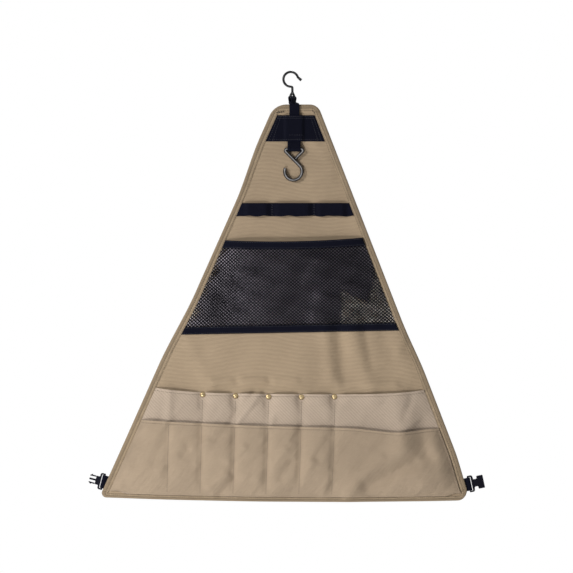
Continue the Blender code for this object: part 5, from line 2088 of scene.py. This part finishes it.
@dataclass(frozen=True)
class Studio:
    """Plain pale room: camera in front, a soft key from the upper left, white behind the object."""

    target: Triple = (-0.0082, 0.0, -0.4083)
    distance: float = 6.0
    view_width: float = 1.0959
    sensor: float = 36.0
    floor_z: float = -1.6
    floor_reach: float = 4.0
    floor_glow: float = 0.42
    ambient: float = 0.17
    lamps: tuple[tuple[str, Triple, float, float], ...] = (
        ("key", (-2.05, -1.95, 0.45), 0.6, 49.5),
        ("low", (-0.7, -1.6, -1.35), 0.35, 14.0),
        ("back", (0.5, 1.6, 1.9), 1.6, 95.0),
    )

    def build(self) -> None:
        """Makes the camera, lamps, floor and surrounding light."""
        self.place_camera()
        for name, place, size, power in self.lamps:
            self.lamp(name, place, size, power)
        self.surround()
        self.floor()

    def place_camera(self) -> None:
        """Looks straight at the pockets from far off."""
        data = bpy.data.cameras.new("front_camera")
        data.sensor_width = self.sensor
        data.lens = self.sensor * self.distance / self.view_width
        camera = bpy.data.objects.new("front_camera", data)
        camera.location = Vector(self.target) - Vector((0.0, self.distance, 0.0))
        camera.rotation_euler = (pi / 2, 0.0, 0.0)
        bpy.context.scene.collection.objects.link(camera)
        bpy.context.scene.camera = camera

    def lamp(self, name: str, place: Triple, size: float, power: float) -> None:
        """Hangs one large soft lamp that faces the object.

        Args:
            name: Name of the lamp.
            place: Where it hangs.
            size: Width of its round face.
            power: Watts.
        """
        data = bpy.data.lights.new(f"{name}_light", "AREA")
        data.shape = "DISK"
        data.size = size
        data.energy = power
        lamp = bpy.data.objects.new(f"{name}_light", data)
        lamp.location = place
        lamp.rotation_euler = (Vector(self.target) - Vector(place)).to_track_quat("-Z", "Y").to_euler()
        bpy.context.scene.collection.objects.link(lamp)

    def surround(self) -> None:
        """Lights the room evenly, with plain white seen behind the object."""
        world = bpy.data.worlds.new("plain_room")
        bpy.context.scene.world = world
        board = NodeBoard(world, "Background")
        strength = board.spread(board.seen(), 0.0, 1.0, self.ambient, 1.0)
        board.set_shader(Color=(1.0, 1.0, 1.0, 1.0), Strength=strength)
        bpy.context.scene.view_settings.view_transform = "Standard"

    def floor(self) -> None:
        """Lays a pale matte floor far below the object, as pale to look at as the room behind."""
        reach = self.floor_reach
        corners = [(-reach, -reach, 0), (reach, -reach, 0), (reach, reach, 0), (-reach, reach, 0)]
        mesh = link_mesh("studio_floor", corners, [(0, 1, 2, 3)])
        floor = link_piece("studio_floor", mesh)
        floor.location.z = self.floor_z
        board = NodeBoard(bpy.data.materials.new("floor_paint"))
        tone = board.spread(board.noise(board.own_place(), 3.0), *CLOUDY, 0.78, 0.82)
        glow = board.times(board.seen(), self.floor_glow)
        board.set_shader(Base_Color=board.grey(tone), Roughness=0.9, Emission_Strength=glow)
        mesh.materials.append(board.owner)


# The tan cloth's pale colour is painted light on the panel behind the net.
TAN_CLOTH = ClothFinish(
    "tan_canvas", "tan_cloth", (0.372, 0.280, 0.186), Weave.PLAIN, 0.0009, 0.00006, 0.12,
    wrinkle_depth=0.0015, painted_light=(0.90, 0.85, 0.78), rib_painted_shade=0.035, rib_depth=0.00012
)
POCKET_CANVAS = ClothFinish(
    "pocket_canvas", "tan_cloth", (0.362, 0.277, 0.195), Weave.PLAIN, 0.0009, 0.00006, 0.12,
    wrinkle_depth=0.0044
)
TWILL_CLOTH = ClothFinish(
    "pale_twill", "twill_cloth", (0.442, 0.352, 0.272), Weave.TWILL, 0.0046, 0.0002, 0.16,
    wrinkle_depth=0.0028
)
BINDING_CLOTH = ClothFinish(
    "binding_tape", "binding_cloth", (0.262, 0.198, 0.130), Weave.PLAIN, 0.0011, 0.00008, 0.2,
    rubbed_and_painted_light=1.5
)
DARK_WEBBING = ClothFinish(
    "navy_webbing", "dark_webbing", (0.0055, 0.006, 0.013), Weave.CHEVRON, 0.0011, 0.0002, 0.35,
    rubbed_and_painted_light=2.2, sheen=0.02, gloss=0.05
)
NET_CLOTH = ClothFinish(
    "net_thread", "dark_net", (0.0065, 0.0065, 0.009), Weave.KNIT, 0.0006, 0.0001, 0.3,
    wrinkle_depth=0.0002, rubbed_and_painted_light=1.6, sheen=0.01, gloss=0.05
)
# Made about three times lighter at its marked places, the back layer's colour is painted light there.
BACK_NET_CLOTH = ClothFinish(
    "net_thread_inside", "dark_net", (0.235, 0.213, 0.240), Weave.KNIT, 0.0006, 0.0001, 0.3,
    wrinkle_depth=0.0002, rubbed_and_painted_light=2.9, sheen=0.02, gloss=0.05
)
TAN_THREAD = ThreadFinish("tan_thread", "binding_cloth", (0.070, 0.052, 0.034))
NAVY_THREAD = ThreadFinish("navy_thread", "dark_webbing", (0.009, 0.0095, 0.018))
BRASS = MetalFinish("aged_brass", "brass", (0.38, 0.29, 0.16), (0.12, 0.085, 0.045), 1.0, 0.22, 0.4)
BLACK_STEEL = MetalFinish(
    "coated_steel", "black_steel", (0.006, 0.006, 0.008), (0.016, 0.016, 0.018), 0.0, 0.14, 0.28,
    gloss=0.25
)
# The front hook's pale second colour is a painted highlight along the faces that look forward.
PAINTED_HIGHLIGHT_STEEL = MetalFinish(
    "steel_with_painted_highlight", "black_steel", (0.004, 0.004, 0.006), (0.30, 0.29, 0.29), 0.0, 0.2, 0.3, 0.3, True
)
BLACK_PLASTIC = MouldedFinish("moulded_plastic", "black_plastic", (0.0045, 0.0045, 0.009))

WAVES = (
    Wave(0.0013, 0.17, (1.0, 0.3), 0.7, (0.42, 0.6, 1.0, 1.1)),
    Wave(0.0006, 0.062, (0.2, 1.0), 0.0, (0.06, 0.12, 0.26, 0.36)),
    Wave(0.0009, 0.085, (1.0, -0.4), 2.1, (0.43, 0.48, 0.55, 0.62)),
)

# Folds of the hung cloth, in tenths of a millimetre: start X and Z, end X and Z, reach, height.
FOLD_ROWS = (
    (2088, -6000, 2145, -7115, 240, 54), (2145, -7115, 1150, -8060, 180, 44),
    (2605, -6485, 2089, -6866, 70, 34), (2310, -6217, 2165, -6600, 75, -30),
    (1725, -7350, 1050, -8110, 90, 26), (-591, -6140, -1029, -6675, 56, 44),
    (-700, -6120, -1120, -6600, 60, -30), (480, -1340, 790, -1800, 110, 28),
    (-2310, -6125, -2350, -6680, 80, 30), (-1970, -7090, -1720, -6950, 90, -34),
    (-2500, -7620, -2170, -7350, 100, 36), (-2320, -7520, -1960, -7220, 80, -30),
    (-1550, -7920, -1240, -7680, 80, 40), (-1180, -7420, -900, -7160, 80, 34),
    (-620, -7750, -440, -7400, 90, 30), (-360, -7550, -110, -7220, 90, 34),
    (160, -7900, 400, -7450, 90, 34), (720, -7000, 500, -7350, 80, -30),
    (2500, -7350, 2820, -7050, 110, 40), (3000, -7600, 2550, -7900, 120, 36),
    (-3310, -7520, -3247, -7920, 60, 24), (-1500, -5920, -1150, -5900, 65, 34),
    (-920, -5880, -520, -5890, 65, 38), (-300, -5880, 100, -5890, 70, 30),
    (920, -5940, 2000, -5970, 90, 34), (450, -3600, 800, -5750, 260, 28),
    (1150, -4900, 1500, -6000, 200, 48), (-2000, -5000, -1600, -5900, 160, 26),
    (2050, -5000, 2350, -5850, 160, 30), (2560, -6550, 2580, -7200, 200, -85),
    (2600, -7350, 1450, -7880, 160, -95), (1850, -4900, 1900, -5850, 220, -36),
    (935, -4850, 1005, -5850, 130, -36), (660, -4850, 770, -5850, 130, 32),
    (1400, -4800, 1520, -5600, 110, -28), (2220, -5050, 2050, -5350, 60, 30),
    (-2400, -7000, -2620, -7400, 100, -30), (-1780, -7450, -1600, -7050, 80, 30),
    (-1360, -8050, -1080, -7750, 80, -34), (-1400, -7000, -1180, -6720, 80, -24),
    (-520, -7000, -360, -6650, 80, 26), (-180, -7750, 20, -7450, 80, -32),
    (80, -7000, 260, -6720, 80, -26), (600, -8000, 780, -7650, 80, 32),
    (-3000, -7450, -2900, -7000, 120, -30), (-3450, -8000, -3000, -7200, 100, 26),
    (3220, -7000, 3120, -6650, 100, -32), (550, -1450, 950, -2000, 120, -22),
)
FOLDS = tuple(Fold.from_row([number / TENTHS for number in row]) for row in FOLD_ROWS)

# Painted light and shade on the net's back layer: lighter bands where the height is positive, darker where it
# is negative.
NET_PAINTED_LIGHT_AND_SHADE = (
    Fold((-0.1163, -0.3481), (-0.0704, -0.4705), 0.028, 0.42),
    Fold((0.0444, -0.3557), (0.0214, -0.3978), 0.010, 0.32),
    Fold((0.0482, -0.4246), (0.0329, -0.4743), 0.010, 0.50),
    Fold((-0.1545, -0.4300), (-0.1500, -0.4537), 0.013, -0.50),
    Fold((0.0300, -0.3450), (-0.0200, -0.4500), 0.012, -0.30),
)

BUCKLE_NODES = ("male_buckle", "male_prong_upper", "male_prong_lower", "female_buckle")


def dress_buckles() -> None:
    """Gives the buckle halves, whose shape is the CAD's own, their moulded finish."""
    for name in BUCKLE_NODES:
        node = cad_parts[name]
        for place in node.material_slots:
            place.material = BLACK_PLASTIC.material()
        LOG.info("%s keeps its shape", name)


def main() -> None:
    """Builds every piece of the organizer, then the studio."""
    logging.basicConfig(level=logging.INFO, format="%(message)s")
    outline = PanelOutline.from_frame()
    low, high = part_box("backing_panel")
    calm = [tuple(sum(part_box(f"rivet_cap_{number}"), Vector()).xz / 2) for number in range(1, 6)]
    ground = Ground(outline, Drape(outline, WAVES, FOLDS, tuple(calm)), (low.y + high.y) / 2)
    tan_rows = Stitching("tan_stitches", TAN_THREAD)
    navy_rows = Stitching("navy_stitches", NAVY_THREAD)
    HangHook("hang_hook_wire", "hang_hook", Body.HOOK, BLACK_STEEL, 0.0047).bend_wire()
    FrontHook("front_hook_wire", "front_hook", Body.LOWER_HOOK, PAINTED_HIGHLIGHT_STEEL, 0.0060).bend_wire()
    webbing = Webbing(ground, DARK_WEBBING, navy_rows)
    webbing.hanging_strap()
    net = NetPocket(ground, NET_CLOTH, BACK_NET_CLOTH, DARK_WEBBING, navy_rows)
    BackingPanel(ground, TAN_CLOTH, net.painted_light).build()
    Binding(ground, BINDING_CLOTH, tan_rows).build()
    webbing.apex_patch()
    webbing.front_loop()
    webbing.rail()
    left_bar, left_out = Vector((-0.359, 0.008, -0.78229)), Vector((-0.96815, 0.0, 0.25038))
    right_bar, right_out = Vector((0.34146, 0.008, -0.78669)), Vector((0.97815, 0.0, 0.20791))
    webbing.tab("left", left_bar, left_out)
    webbing.tab("right", right_bar, right_out)
    net.build()
    PocketBands(ground, TWILL_CLOTH, POCKET_CANVAS, tan_rows).build()
    for number in range(1, 6):
        Rivet(number, BRASS).build()
    tan_rows.build()
    navy_rows.build()
    dress_buckles()
    Studio().build()


if __name__ == "__main__":
    main()
